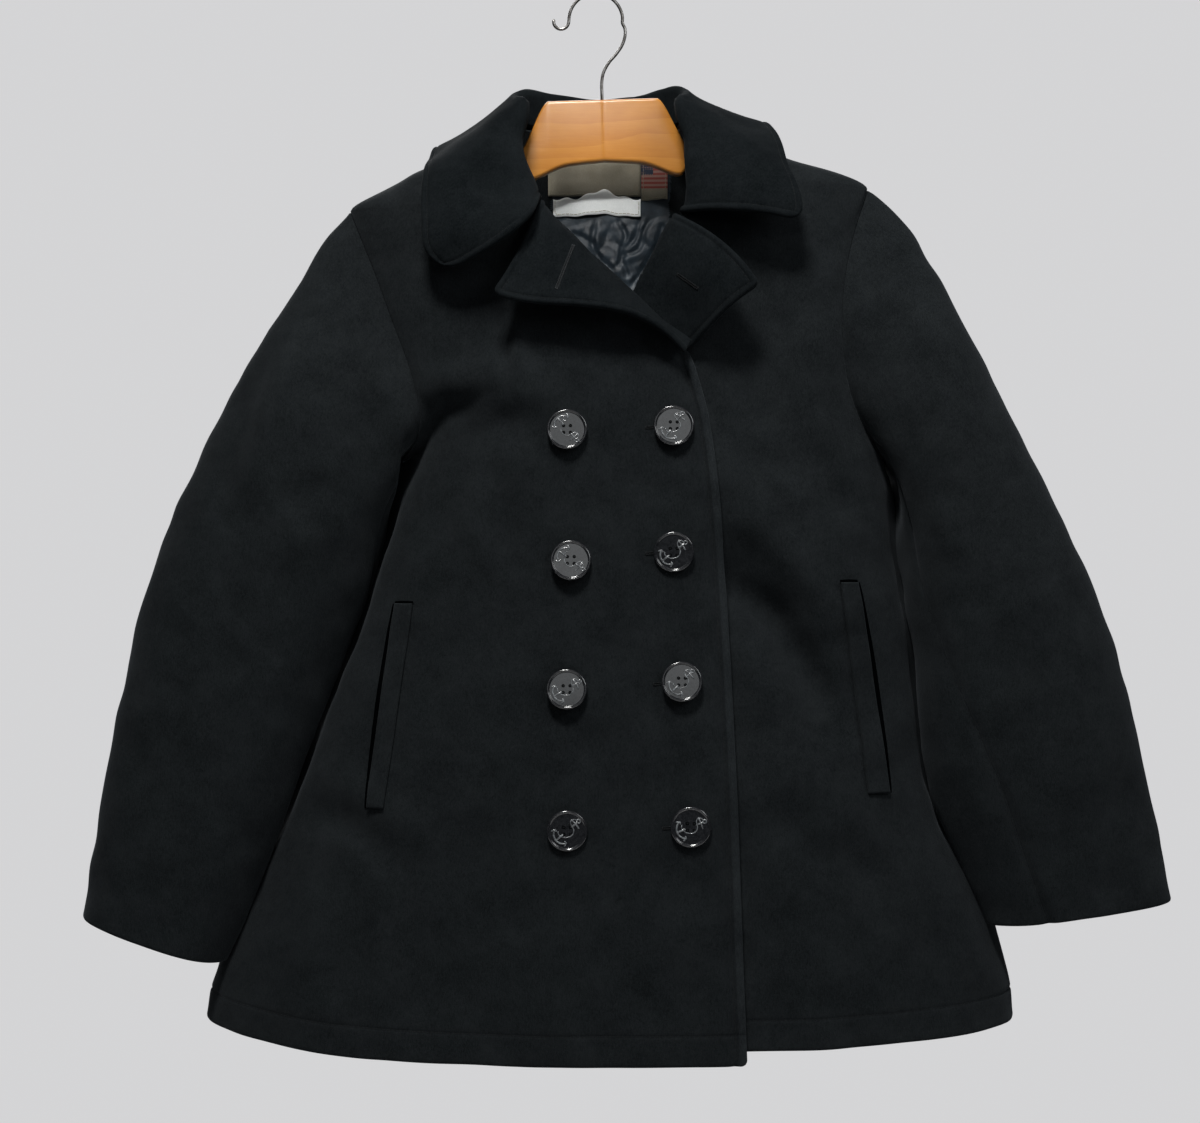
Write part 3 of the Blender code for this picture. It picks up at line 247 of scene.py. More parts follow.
# Level sections of the coat's body: outline at the right and left side seams or shoulder ridges,
# its middle, how far the front and back stand from the side seams, and how square the section is
BODY = Table("z right left middle front back *square", """
-106 -64 71.5 5 30 40 2.2; -135 -126 157 9 40 49 2.3; -160 -171 223 13 47 54 2.4
-178 -202 225 16 51 57 2.4; -250 -193 226 19 66 62 2.5; -320 -177 228 20 76 62 2.5
-385 -162 236 20 80 60 2.5; -410 -171.5 243.5 20 81 59 2.5; -433 -175.5 247.5 21 82 58 2.5
-478 -188 255.5 21 84 57 2.5; -530 -206 264 21 87 58 2.5; -582 -227.5 269.5 21 91 60 2.4
-624 -243 274 21 94 62 2.4; -670 -260 286 20 97 65 2.4; -705 -273 302.5 19 99 67 2.4
-748 -290 322 18 102 70 2.4; -793 -309.5 334.5 17 104 72 2.4; -834.5 -318 342 16 106 74 2.4""")

# Free edge of each front: neck, roll line of the lapel, then the straight front edge
FRONT_EDGE = Table("z right left", """
-106 -60.5 68; -128 -70 82.5; -150 -64 83; -178 -50 79; -196 -37 64; -222 -10.2 51; -252 20.4 36
-276 45 24; -302 75 6; -322 82 -6; -353 89.8 -22; -416 97.6 -40; -495 103.4 -50; -573 107.4 -55
-650 110.7 -60; -728 113.8 -63; -834.5 118 -66""")

# The left front lies under the right one, this far behind the surface of the body
UNDER = Table("z behind", """
-170 0; -220 10; -270 16; -320 17; -410 7; -840 6""")
UNDER_FULL_X, UNDER_NONE_X = 0.115, 0.190

# The armhole cuts into the front and back by this angle, deeper towards the armpit by the skew
ARMHOLE = {(RIGHT, FRONT): (0.45, 0.50), (LEFT, FRONT): (0.52, 0.10), (RIGHT, BACK): (0.42, 0.20),
           (LEFT, BACK): (0.42, 0.20)}

# Sections of the sleeves from the shoulder to the cuff: the outer and inner side of each, how far it
# stands from the side seams, half its depth, and how far the seams have turned round it
SLEEVE_COLUMNS = "*row outer_x outer_z inner_x inner_z middle_y depth *twist"
SLEEVE = {RIGHT: Table(SLEEVE_COLUMNS, """
0 -202 -177.6 -162 -384.5 2 55 0; 1 -224 -206 -173.5 -396 -4 56 0; 2 -247 -249 -175.5 -416 -10 56 6
3 -275 -293 -177.5 -439 -19 55 16; 4 -301 -340 -184 -465 -23 53 26; 5 -326 -394 -192.5 -497 -26 51 34
6 -350 -450 -208 -536 -27 50 38; 7 -368 -508 -225 -579 -30 48 40; 8 -380 -565 -241 -622 -32 46 40
9 -391 -621 -259 -674 -34 44 40; 10 -401 -681 -280.5 -729 -36 41 40; 11 -412 -749 -307 -786 -38 38 40
"""), LEFT: Table(SLEEVE_COLUMNS, """
0 223.5 -159.5 236 -384.5 2 55 0; 1 249 -183 245 -398 -4 56 0; 2 274 -225 246.5 -415 -10 56 4
3 298 -272 249 -436 -19 55 8; 4 323 -324 253 -463 -24 53 10; 5 348 -376 256.5 -496 -28 51 6
6 375 -431 262.5 -536 -31 50 -4; 7 401 -489 266 -583 -34 48 -16; 8 421 -548 272 -629 -36 45 -26
9 436 -610 286 -671 -37 41 -30; 10 450 -674 304 -711 -36 36 -29; 11 462 -736.5 327 -757 -38 30 -27""")}
SLEEVE_ROWS, SLEEVE_STEPS = 11, 2 * ROWS_AT_ARMHOLE
ARMHOLE_BLEND_ROWS = 3.6
FRONT_SEAM_STEP, BACK_SEAM_STEP = 9, 15     # where the sleeve's seams leave the armhole, from the shoulder

# The collar from its right front end (0) round the back (0.5) to its left front end (1): height of
# the stand, and the middle and edge of the fall
COLLAR = Table("*along stand mid_x mid_y mid_z leaf_x leaf_y leaf_z", """
0 1.5 -61.5 -91 -204.5 -120.5 -75 -239; 0.05 5 -90 -76 -191 -136.8 -70 -212
0.11 6 -99 -58 -156 -139 -59 -174; 0.16 6 -99 -36 -130 -138 -40 -154; 0.2 11 -98 -12 -114 -137 -15 -141
0.27 19 -95 20 -103 -132.5 25 -124; 0.34 26.2 -76 44 -101 -108 52 -132; 0.42 23.5 -40 56 -106 -58 64 -144
0.5 21 5 60 -110 5 67 -149; 0.58 24 50 56 -104 68 64 -140; 0.66 29.2 86 44 -93 120 52 -118
0.73 22.2 101 20 -91 141 25 -103; 0.8 12 108 -12 -106 151 -18 -126; 0.84 6 112 -36 -124 154 -40 -146
0.89 6 114 -55 -148 159.5 -58 -164; 0.95 4 115 -67 -171 163 -70 -180; 1 1.5 115 -73 -188 163.6 -75 -196""")
COLLAR_FRONT_SHARE = 0.20     # share of the collar's length that runs up each front's edge
COLLAR_UPRIGHT_FROM = (0.12, 0.24)   # the stand leans on the front's edge before this stretch
GORGE_GAP = 2.2 * MM          # between the collar's end and the lapel
CORNER_CLEAR = 0.6            # share more that the collar clears the front's corner at the neck
EDGE_STEP = 6 * MM            # half the length over which the run of a front's edge is taken
NECK_STEP = 0.02              # the same along the neckline, as a share

# The outer edge of each lapel from the notch (0) to the break of the front (1), and how far its
# middle bows towards the notch and lifts off the coat
LAPEL_COLUMNS = "*along edge_x edge_y edge_z bow lift"
LAPEL = {RIGHT: Table(LAPEL_COLUMNS, """
0 -82 -90 -254.5 -6 4; 0.12 -69 -91 -259.5 -2 4; 0.3 -45 -92 -263.5 0 4; 0.5 -14.5 -94 -265.5 0 4
0.68 16 -95 -269 0 3; 0.8 36 -93 -275 0 2; 0.91 56 -90 -286 0 1; 1 70 -87 -300 0 0
"""), LEFT: Table(LAPEL_COLUMNS, """
0 128.5 -88 -247.5 6 4; 0.2 108 -84 -262.5 2 2; 0.45 88 -71 -282.5 0 -3; 0.6 76 -63.2 -294.5 0 -1
0.8 50 -65 -309 0 0; 1 20 -66 -322 0 0""")}
LAPEL_STAND = 1.5 * MM


# ---- The form of the coat, as in its solids ----

def segment_off(x, z, start, end):
    """Distance from a straight segment, and the share of its length passed."""
    run_x, run_z = end[0] - start[0], end[1] - start[1]
    along = ((x - start[0]) * run_x + (z - start[1]) * run_z) / (run_x ** 2 + run_z ** 2)
    along = np.clip(along, 0.0, 1.0)
    return np.hypot(x - start[0] - along * run_x, z - start[1] - along * run_z), along


def half_width(angle, z):
    middle = BODY.read("middle", z)
    return np.where(angle > 0, BODY.read("left", z) - middle, middle - BODY.read("right", z))


def body_point(side, face, angle, z):
    """Point of the outer surface. The angle is 0 in the middle and a quarter turn at the side."""
    across = np.minimum(np.abs(np.sin(angle)), 1.0)
    square = BODY.read("square", z)
    depth = BODY.read(face, z) * (1 - across ** square) ** (1 / square)
    x = BODY.read("middle", z) + half_width(angle, z) * np.sin(angle)
    folds = sum(height * bell(segment_off(x, z, *ends)[0], width) for ends, width, height in FOLDS[face])
    depth = depth + folds * (1 - across ** 4)
    if face == FRONT and side == LEFT:
        hidden = (1 - smooth_step(UNDER_FULL_X, UNDER_NONE_X, x)) * (1 - across ** 4)
        depth = depth - UNDER.read("behind", z) * hidden
    drop = HEM_DROP[side, face] * (1 - across ** 3) * smooth_step(HEM_DROP_FROM_Z, HEM_Z, z)
    return np.stack(np.broadcast_arrays(x, -depth if face == FRONT else depth, z - drop), axis=-1)


def body_normal(side, angle, z):
    """Unit vector out of a front's surface."""
    step, turn = 1 * MM, 0.02
    up = body_point(side, FRONT, angle, min(z + step, NECK_Z)) - body_point(side, FRONT, angle, z - step)
    high, low = min(angle + turn, QUARTER), max(angle - turn, -QUARTER)
    return unit(np.cross(body_point(side, FRONT, high, z) - body_point(side, FRONT, low, z), up))


def inner_angle(side, face, z):
    """Angle of the front's free edge, or of the seam down the middle of the back."""
    if face == BACK:
        return z * 0.0
    off = FRONT_EDGE.read(SIDE_WORD[side], z) - BODY.read("middle", z)
    return np.arcsin(np.clip(off / half_width(off, z), -1.0, 1.0))


def armhole_z(side, turn):
    """Height at a turn round the armhole, 0 at the shoulder tip and pi at the armpit."""
    return TIP_Z[side] + (ARMPIT_Z - TIP_Z[side]) * (1 - np.cos(turn)) / 2


def armhole_angle(side, face, turn):
    depth, skew = ARMHOLE[side, face]
    return side * (QUARTER - np.sin(turn) * (depth + skew * ((1 - np.cos(turn)) / 2) ** 3))


def armhole_point(side, turn):
    """Point of the armhole, round its front and then its back."""
    turn = np.mod(turn, WHOLE)
    ahead = turn <= math.pi
    turn = np.where(ahead, turn, WHOLE - turn)
    front, back = [body_point(side, face, armhole_angle(side, face, turn), armhole_z(side, turn))
                   for face in (FRONT, BACK)]
    return np.where(ahead[..., None], front, back)


def sleeve_section(side, row, turn):
    """Point of the plain oval section of a sleeve."""
    table = SLEEVE[side]
    outer, inner = [np.stack((table.read(which + "_x", row), 0 * row, table.read(which + "_z", row)), axis=-1)
                    for which in ("outer", "inner")]
    round_turn = turn + np.radians(table.read("twist", row))
    across, ahead = [np.sign(part) * np.abs(part) ** OVAL
                     for part in (np.cos(round_turn), np.sin(round_turn))]
    point = (outer + inner) / 2 + (outer - inner) / 2 * across[..., None]
    point[..., 1] = table.read("middle_y", row) - table.read("depth", row) * ahead
    return point


def sleeve_point(side, row, turn):
    """Point of the sleeve's outer surface: the armhole's own edge easing into the oval sections."""
    ease = np.cos(QUARTER * np.minimum(row / ARMHOLE_BLEND_ROWS, 1.0)) ** 2
    away = armhole_point(side, turn) - sleeve_section(side, 0 * row, turn)
    return sleeve_section(side, row, turn) + away * ease[..., None]


def edge_point(side, z):
    """Point on a front's free edge."""
    return body_point(side, FRONT, inner_angle(side, FRONT, z), z)


def edge_frame(side, z):
    """On a front's free edge: the point, the way off the edge, and the way out of the cloth."""
    out = body_normal(side, inner_angle(side, FRONT, z), z)
    run = edge_point(side, min(z + EDGE_STEP, NECK_Z)) - edge_point(side, z - EDGE_STEP)
    return edge_point(side, z), unit(np.cross(run, out)) * -side, out


def neckline_z(side, along):
    """Height of the neckline where it runs up the edge of a front."""
    up = min((along if side == RIGHT else 1 - along) / COLLAR_FRONT_SHARE, 1.0)
    start = GORGE_Z[side] + GORGE_GAP
    return start + (NECK_Z - start) * up


def neckline_point(along):
    """Point of the coat's neckline, from the right gorge (0) round the back to the left gorge (1)."""
    share = COLLAR_FRONT_SHARE
    if along < share or along > 1 - share:
        side = RIGHT if along < share else LEFT
        return edge_point(side, neckline_z(side, along))
    first = abs(inner_angle(RIGHT, FRONT, NECK_Z)) - math.pi
    last = math.pi - abs(inner_angle(LEFT, FRONT, NECK_Z))
    turn = first + (last - first) * (along - share) / (1 - 2 * share)
    side = RIGHT if turn < 0 else LEFT
    if abs(turn) <= QUARTER:
        return body_point(side, BACK, turn, NECK_Z)
    return body_point(side, FRONT, side * (math.pi - abs(turn)), NECK_Z)


def neckline_frame(along):
    """The collar's seam: the point, the way its stand rises and the way out of the cloth."""
    side = RIGHT if along < 0.5 else LEFT
    point = neckline_point(along)
    run = unit(neckline_point(min(along + NECK_STEP, 1.0)) - neckline_point(max(along - NECK_STEP, 0.0)))
    _, off, out = edge_frame(side, neckline_z(side, along))
    upright = smooth_step(*COLLAR_UPRIGHT_FROM, 0.5 - abs(along - 0.5))
    rise = off * (1 - upright) + UP * upright
    rise = unit(rise - run * (rise @ run))
    to_corner = abs(abs(along - 0.5) - 0.5 + COLLAR_FRONT_SHARE) * COLLAR_STATIONS
    clear = (ROLL_GAP + DOUBLE / 2 * abs(rise @ out)) * (1 + CORNER_CLEAR * max(1 - to_corner, 0))
    outward = unit(np.cross(rise, run))
    return point - outward * DOUBLE / 2 * (1 - upright) + rise * clear, rise, outward


def turned_section(seam, rise, out, stand, mid, leaf):
    """Middle of the cloth from its seam, up its stand, over its turn and down to its free edge."""
    centre = seam + rise * stand + out * TURN_RADIUS
    reach = mid - centre
    whole_turn = math.atan2(max(reach @ out, 0.0), reach @ rise)
    up = np.linspace(0, 1, STAND_STEPS, endpoint=False)[:, None]
    angles = np.linspace(0, whole_turn, TURN_STEPS)[:, None]
    over = centre - out * TURN_RADIUS * np.cos(angles) + rise * TURN_RADIUS * np.sin(angles)
    down = np.linspace(0, 1, FALL_STEPS)[1:, None]
    fall = over[-1] * (1 - down) * (1 - 2 * down) + mid * 4 * down * (1 - down)
    return np.concatenate((seam + rise * stand * up, over, fall + leaf * down * (2 * down - 1)))


def collar_grid():
    """Middle of the collar's cloth: along the neckline, and from its seam to its free edge."""
    return np.array([turned_section(*neckline_frame(along), COLLAR.read("stand", along),
                                    COLLAR.point("mid", along), COLLAR.point("leaf", along))
                     for along in np.linspace(0, 1, FINE_STATIONS)])


def lapel_grid(side):
    """Middle of a lapel's cloth: from the notch to the break, and from its roll to its free edge."""
    sections = []
    for along in np.linspace(0, 1, FINE_STATIONS):
        point, off, out = edge_frame(side, GORGE_Z[side] + (BREAK_Z[side] - GORGE_Z[side]) * along)
        seam = point - out * DOUBLE / 2 + off * ROLL_GAP
        edge = LAPEL[side].point("edge", along)
        turned = seam + off * LAPEL_STAND + out * 2 * TURN_RADIUS
        mid = (turned + edge) / 2 + out * LAPEL[side].read("lift", along)
        mid = mid + unit(np.cross(off, out)) * side * LAPEL[side].read("bow", along)
        sections.append(turned_section(seam, off, out, LAPEL_STAND, mid, edge))
    return np.array(sections)


def body_grid(side, face):
    """Outer points of one front or one half of the back, hem row first, side seam first."""
    below = np.linspace(HEM_Z, ARMPIT_Z, FINE_ROWS_BELOW, endpoint=False)
    turns = np.linspace(math.pi, 0, FINE_ROWS_AT_ARMHOLE)
    above = np.linspace(TIP_Z[side], NECK_Z, FINE_ROWS_ABOVE)[1:]
    z = np.concatenate((below, armhole_z(side, turns), above))
    start = np.full(len(z), side * QUARTER)
    start[len(below):len(below) + len(turns)] = armhole_angle(side, face, turns)
    share = np.linspace(0, 1, FINE_COLUMNS)
    angle = start[:, None] + (inner_angle(side, face, z) - start)[:, None] * share
    return body_point(side, face, angle, np.broadcast_to(z[:, None], angle.shape))


def sleeve_grid(side, first, last):
    """Outer points of the part of a sleeve between two of its seams, shoulder row first."""
    rows = np.linspace(0, SLEEVE_ROWS, FINE_SLEEVE_ROWS)[:, None]
    turns = np.linspace(first, last, (last - first) * FINE_PER_STEP + 1) * WHOLE / SLEEVE_STEPS
    rows, turns = np.broadcast_arrays(rows, turns)
    points = sleeve_point(side, rows, turns)
    inmost, press = sleeve_press(side)
    off = np.mod(turns - inmost[:, None] + math.pi, WHOLE) - math.pi
    points[..., 0] -= side * press[:, None] * bell(off, PRESS_TURN)
    return points


def sleeve_press(side):
    """For each row of a sleeve, the turn of its inmost point and how far it leans over to the coat's side."""
    rows = np.linspace(0, SLEEVE_ROWS, FINE_SLEEVE_ROWS)[:, None]
    turns = np.linspace(0, WHOLE, FINE_TURNS)[None, :-1]
    ring = sleeve_point(side, *np.broadcast_arrays(rows, turns))
    seen = side * (ring[..., 0] - VIEW_X) / (ring[..., 1] - VIEW_Y)
    inmost = np.argmin(seen, axis=1)
    at = np.arange(len(ring)), inmost
    body_seen = side * (BODY.read(SIDE_WORD[side], ring[at][:, 2]) - VIEW_X) / -VIEW_Y
    gap = (seen[at] - body_seen) * (ring[at][:, 1] - VIEW_Y)
    press = np.clip(gap + PRESS_PAST, 0, PRESS_MOST) * smooth_step(*PRESS_ROWS, rows[:, 0])
    return evened(np.unwrap(turns[0, inmost]), EVEN_TURNS), evened(press, EVEN_PRESS)


def evened(values, reach):
    """Each value as the mean of those around it."""
    count = 2 * reach + 1
    return np.convolve(np.pad(values, reach, mode="edge"), np.ones(count) / count, mode="valid")


# ---- Skins of cloth ----

def lengths_along(grid, axis):
    """Length from the start to each point, along one axis of a grid."""
    steps = np.linalg.norm(np.diff(grid, axis=axis), axis=2)
    return np.concatenate((np.zeros_like(np.take(steps, [0], axis)), np.cumsum(steps, axis)), axis)


def respaced(grid, axis, start_lines, end_lines, step):
    """The grid with its points along one axis moved to set distances from both ends, and evenly between."""
    if axis == 0:
        return respaced(grid.swapaxes(0, 1), 1, start_lines, end_lines, step).swapaxes(0, 1)
    passed = lengths_along(grid, 1)
    near, far = np.array(start_lines), np.array(end_lines)
    middle = max(int(round((np.mean(passed[:, -1]) - near[-1] - far[-1]) / step)), 2)
    rows = []
    for row, at in zip(grid, passed):
        shrink = min(1.0, LINES_SHARE * at[-1] / max(near[-1], far[-1]))
        first, last = near * shrink, at[-1] - far[::-1] * shrink
        places = np.concatenate((first, np.linspace(first[-1], last[0], middle + 1)[1:-1], last))
        rows.append(np.stack([np.interp(places, at, row[:, k]) for k in range(3)], axis=1))
    return np.array(rows)


def normals_of(grid, towards):
    """Unit normals of a grid, on the side that a vector points to at the grid's middle."""
    normals = unit(np.cross(unit(np.gradient(grid, axis=0)), unit(np.gradient(grid, axis=1))))
    middle = normals[grid.shape[0] // 2, grid.shape[1] // 2]
    return normals if middle @ np.array(towards) > 0 else -normals


def edge_distances(grid):
    """Distance of each point from the first and last column and the first and last row."""
    across, down = lengths_along(grid, 1), lengths_along(grid, 0)
    return dict(zip(EDGES, (across, across[:, -1:] - across, down, down[-1:] - down)))


def least(distances, names=EDGES):
    """Distance from the nearest of the named edges."""
    return np.min([distances[name] for name in names], axis=0)


def rounded_dip(distance, half):
    """How far a free edge has drawn in at a distance from it, for cloth of a half thickness."""
    u = np.clip(distance / (EDGE_ROUNDING * half), 0.0, 1.0)
    return EDGE_CLOSING * half * (1 - np.sqrt(1 - (1 - u) ** 2))


def groove_dip(distance, at, depth, width, fullness):
    """The groove along a row of stitches, and the fuller rim between it and the edge."""
    return depth * bell(distance - at, width) - fullness * bell(distance - at * RIM_AT, at * RIM_SPREAD)


def add_object(name, data, ride=True):
    """A new object in the scene, riding on the part's body unless it belongs to the stage."""
    made = bpy.data.objects.new(name, data)
    bpy.context.scene.collection.objects.link(made)
    if ride:
        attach(made, "root")
    return made


def new_mesh(name, places, faces, finishes=(), face_finish=None):
    mesh = bpy.data.meshes.new(name)
    mesh.from_pydata([tuple(place) for place in places], [], faces)
    for finish in finishes:
        mesh.materials.append(finish)
    if face_finish is not None:
        mesh.polygons.foreach_set("material_index", np.array(face_finish, np.int32))
    return mesh


def add_mesh(name, places, faces, finishes, slot, node=None, face_finish=None):
    """A smooth piece, and the solid it replaces. The slot of its material is not used."""
    mesh = new_mesh(name, places, faces, finishes, face_finish)
    mesh.shade_smooth()
    piece = add_object(name, mesh)
    if node:
        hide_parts(node)
    return piece


def closed_wall(outer, inner, towards):
    """Places and faces of the closed wall between two grids, the outer one facing a vector in its middle."""
    rows, columns = outer.shape[:2]
    r, c = rows // 2, columns // 2
    flip = np.cross(outer[r + 1, c] - outer[r, c], outer[r, c + 1] - outer[r, c]) @ towards > 0
    ids = np.arange(rows * columns).reshape(rows, columns)
    rim = np.concatenate((ids[0, :-1], ids[:-1, -1], ids[-1, :0:-1], ids[:0:-1, 0]))
    ahead = np.roll(rim, -1)
    rings = [[g[:-1, :-1], g[:-1, 1:], g[1:, 1:], g[1:, :-1]] for g in (ids, ids + ids.size)]
    rings.append([rim, rim + ids.size, ahead + ids.size, ahead])
    quads = [np.stack(corners[::-1] if turned else corners, axis=-1).reshape(-1, 4)
             for corners, turned in zip(rings, (flip, not flip, flip))]
    return np.concatenate((outer.reshape(-1, 3), inner.reshape(-1, 3))), np.concatenate(quads).tolist()


def add_skin(node, grid, normals, wall, free, finishes, relief, sewn=(), creases=(), stitched=False,
             lined=None, painted_rim=None, seam_depth=SEAM_DEPTH):
    """One panel of cloth: its outer points with creases, seams and stitch grooves, and its inner points.

    free and sewn name the panel's free and sewn edges. Where it is stitched, a groove follows the free
    ones on both faces. Returns the piece and its outer grid, on which stitches and trims lie.
    """
    distances = edge_distances(grid)
    lift = sum(stroke_lift(face, *stroke, grid) for face, lines in dict(creases).items() for stroke in lines)
    lift = lift + relief(grid, distances)
    if sewn:
        from_seam = least(distances, sewn)
        lift = lift * smooth_step(0.0, SEAM_FADE, from_seam) - seam_depth * bell(from_seam, SEAM_WIDTH)
    dip = rounded_dip(least(distances, free), wall / 2)
    if stitched:
        dip = dip + groove_dip(least(distances, free), COLLAR_STITCH, STITCH_GROOVE, STITCH_GROOVE_WIDTH,
                               RIM_FULLNESS)
    outer = grid + normals * (lift - dip)[..., None]
    inner = grid + normals * (lift + dip - wall)[..., None]
    places, faces = closed_wall(outer, inner, normals[grid.shape[0] // 2, grid.shape[1] // 2])
    face_finish = np.zeros(len(faces), int)
    count = (grid.shape[0] - 1) * (grid.shape[1] - 1)
    if lined:
        face_finish[count:2 * count] = lined(distances)[:-1, :-1].reshape(-1)
    # The rim along a front's edge takes the third finish, a paler wool: a painted highlight on its ridge
    if painted_rim:
        face_finish[:count] = 2 * painted_rim(distances, grid[..., 2])[:-1, :-1].reshape(-1)
    return add_mesh(node + "_cloth", places, faces, finishes, MELTON_SLOT, node, face_finish), outer


def off_path(points, x, z):
    """Distance from a smooth line through a few points, and the share of its length passed."""
    path = smooth_path(points)
    best, along = np.full(x.shape, 1e9), np.zeros(x.shape)
    for i, ends in enumerate(zip(path, path[1:])):
        off, share = segment_off(x, z, *ends)
        along = np.where(off < best, (i + share) / (len(path) - 1), along)
        best = np.minimum(best, off)
    return best, along


def stroke_lift(face, points, width, height, grid):
    """How far one crease lifts the cloth: a soft ridge or trough along a curved line on one face."""
    best, along = off_path(points, grid[..., 0], grid[..., 2])
    lift = height * bell(best, width) * np.sin(np.pi * np.clip(along, 0.0, 1.0)) ** CREASE_END
    fade = (CREASE_BACK_Y, CREASE_FRONT_Y) if face == FRONT else (CREASE_FRONT_Y, CREASE_BACK_Y)
    return lift * smooth_step(*fade, grid[..., 1])


def smooth_path(points):
    """A smooth curve through a few points, as closer points."""
    points = np.array(points, float)
    if len(points) == 2:
        return points
    padded = np.concatenate((2 * points[:1] - points[1:2], points, 2 * points[-1:] - points[-2:-1]))
    return np.array([0.5 * (2 * b + (c - a) * t + (2 * a - 5 * b + 4 * c - d) * t ** 2
                            + (3 * b - a - 3 * c + d) * t ** 3)
                     for a, b, c, d in zip(padded, padded[1:], padded[2:], padded[3:])
                     for t in np.linspace(0, 1, PATH_STEPS, endpoint=False)] + [points[-1]])


def unevenness(grid):
    """Small slow waves that no hanging cloth is without."""
    lift = 0.0
    for lengths, height, shift in UNEVEN_WAVES:
        phase = sum(grid[..., k] * WHOLE / lengths[k] for k in range(3))
        lift = lift + height * np.sin(phase + shift + UNEVEN_BEND * np.sin(phase * UNEVEN_BEND_RATE))
    return lift


# ---- Finishes ----

class Finish:
    """A material whose Principled shader is fed by procedural nodes."""

    def __init__(self, name, colour, roughness, **values):
        self.material = bpy.data.materials.new(name)
        self.material.use_nodes = True
        self.material.diffuse_color = (*colour, 1.0)
        self.shader = self.material.node_tree.nodes["Principled BSDF"]
        self.put(self.shader, {"Base Color": colour, "Roughness": roughness, **values})
        self.place = self.add("TexCoord", {}).outputs["Object"]

    def put(self, node, inputs):
        """Links each named input to an output, or sets its value."""
        for name, value in inputs.items():
            socket = node.inputs[name.replace("_", " ") if isinstance(name, str) else name]
            if isinstance(value, bpy.types.NodeSocket):
                self.material.node_tree.links.new(value, socket)
            else:
                socket.default_value = (*value, 1.0) if socket.type == "RGBA" else value

    def add(self, kind, inputs, **settings):
        node = self.material.node_tree.nodes.new("ShaderNode" + kind)
        for name, value in settings.items():
            setattr(node, name, value)
        self.put(node, inputs)
        return node

    def stretched(self, scale):
        """The place, with each axis multiplied."""
        return self.add("VectorMath", {0: self.place, 1: scale}, operation="MULTIPLY").outputs[0]

    def noise(self, scale, detail=3.0, roughness=0.6, stretch=None):
        place = self.stretched(stretch) if stretch else self.place
        inputs = {"Vector": place, "Scale": scale, "Detail": detail, "Roughness": roughness}
        return self.add("TexNoise", inputs).outputs["Fac"]

    def bands(self, direction, profile, **inputs):
        inputs = {"Vector": self.place, **inputs}
        return self.add("TexWave", inputs, bands_direction=direction, wave_profile=profile).outputs["Fac"]

    def maths(self, operation, *values):
        return self.add("Math", dict(enumerate(values)), operation=operation).outputs[0]

    def blend(self, *parts):
        """The sum of outputs, each times its share."""
        total = 0.0
        for output, share in parts:
            total = self.maths("MULTIPLY_ADD", output, share, total)
        return total

    def ramp(self, factor, *stops):
        """Colours between stops of (position, colour)."""
        node = self.add("ValToRGB", {"Fac": factor})
        elements = node.color_ramp.elements
        while len(elements) < len(stops):
            elements.new(0.5)
        for element, (position, colour) in zip(elements, stops):
            element.position, element.color = position, (*colour, 1.0)
        return node.outputs["Color"]

    def mix(self, factor, first, second):
        return self.add("Mix", {0: factor, 6: first, 7: second}, data_type="RGBA").outputs[2]

    def done(self, colour, *layers, **inputs):
        """The material, its shader fed. Layers of relief: (height output, distance in metres, strength)."""
        inputs = {"Base Color": colour, **inputs}
        for height, distance, strength in layers:
            below = {"Normal": inputs["Normal"]} if "Normal" in inputs else {}
            bump = self.add("Bump", {"Height": height, "Distance": distance, "Strength": strength, **below})
            inputs["Normal"] = bump.outputs["Normal"]
        self.put(self.shader, inputs)
        return self.material


def melton(name, dark, light, sheen=WOOL_SHEEN, shine=0.09):
    """Thick felted wool: soft mottling, short fibres and a fine even grain under a dull nap."""
    made = Finish(name, dark, 0.95, Sheen_Weight=sheen, Sheen_Roughness=0.5, Sheen_Tint=SHEEN_TINT,
                  Specular_IOR_Level=shine)
    grain, fibres = made.noise(1500.0, 2.0, 0.7), made.noise(1.0, 3.0, 0.65, (900.0, 900.0, 330.0))
    mottle, patches = made.noise(26.0, 4.0, 0.62), made.noise(95.0)
    tone = made.blend((mottle, 0.20), (grain, 0.40), (patches, 0.12), (fibres, 0.28))
    return made.done(made.ramp(tone, (0.40, dark), (0.60, light)), (made.noise(210.0), 0.0006, 0.30),
                     (fibres, 0.0004, 0.35), (grain, 0.0003, 0.45))


def satin():
    """Slippery lining: a fine twill with small crumples; its colour is painted brighter where the crumples
    rise, a painted highlight.
    """
    made = Finish("quilted_satin_look", SATIN_DARK, 0.5, Sheen_Weight=0.15, Sheen_Roughness=0.35,
                  Specular_IOR_Level=0.42, Anisotropic=0.3)
    crumple, twill = made.noise(90.0, 4.0), made.bands("DIAGONAL", "SIN", Scale=900.0, Distortion=0.6)
    return made.done(made.ramp(crumple, (0.32, SATIN_DARK), (0.70, SATIN_LIGHT)), (crumple, 0.0008, 0.45),
                     (twill, 0.0001, 0.3), Roughness=made.maths("MULTIPLY_ADD", crumple, 0.20, 0.40))


def moulded_plastic(name, dark, wear_and_highlight, roughness):
    """Glossy dark buttons with fine scratches, a little dust and patches of wear; the relief's copy is
    painted much paler, a painted highlight along its raised lines.
    """
    made = Finish(name, dark, roughness, Specular_IOR_Level=0.6, Coat_Weight=0.5, Coat_Roughness=0.06)
    wear, dust = made.noise(420.0, 4.0, 0.7), made.noise(1600.0, 2.0)
    return made.done(made.ramp(wear, (0.40, dark), (0.70, wear_and_highlight)), (wear, 0.00004, 0.25),
                     Roughness=made.maths("MULTIPLY_ADD", dust, 0.16, roughness - 0.10))


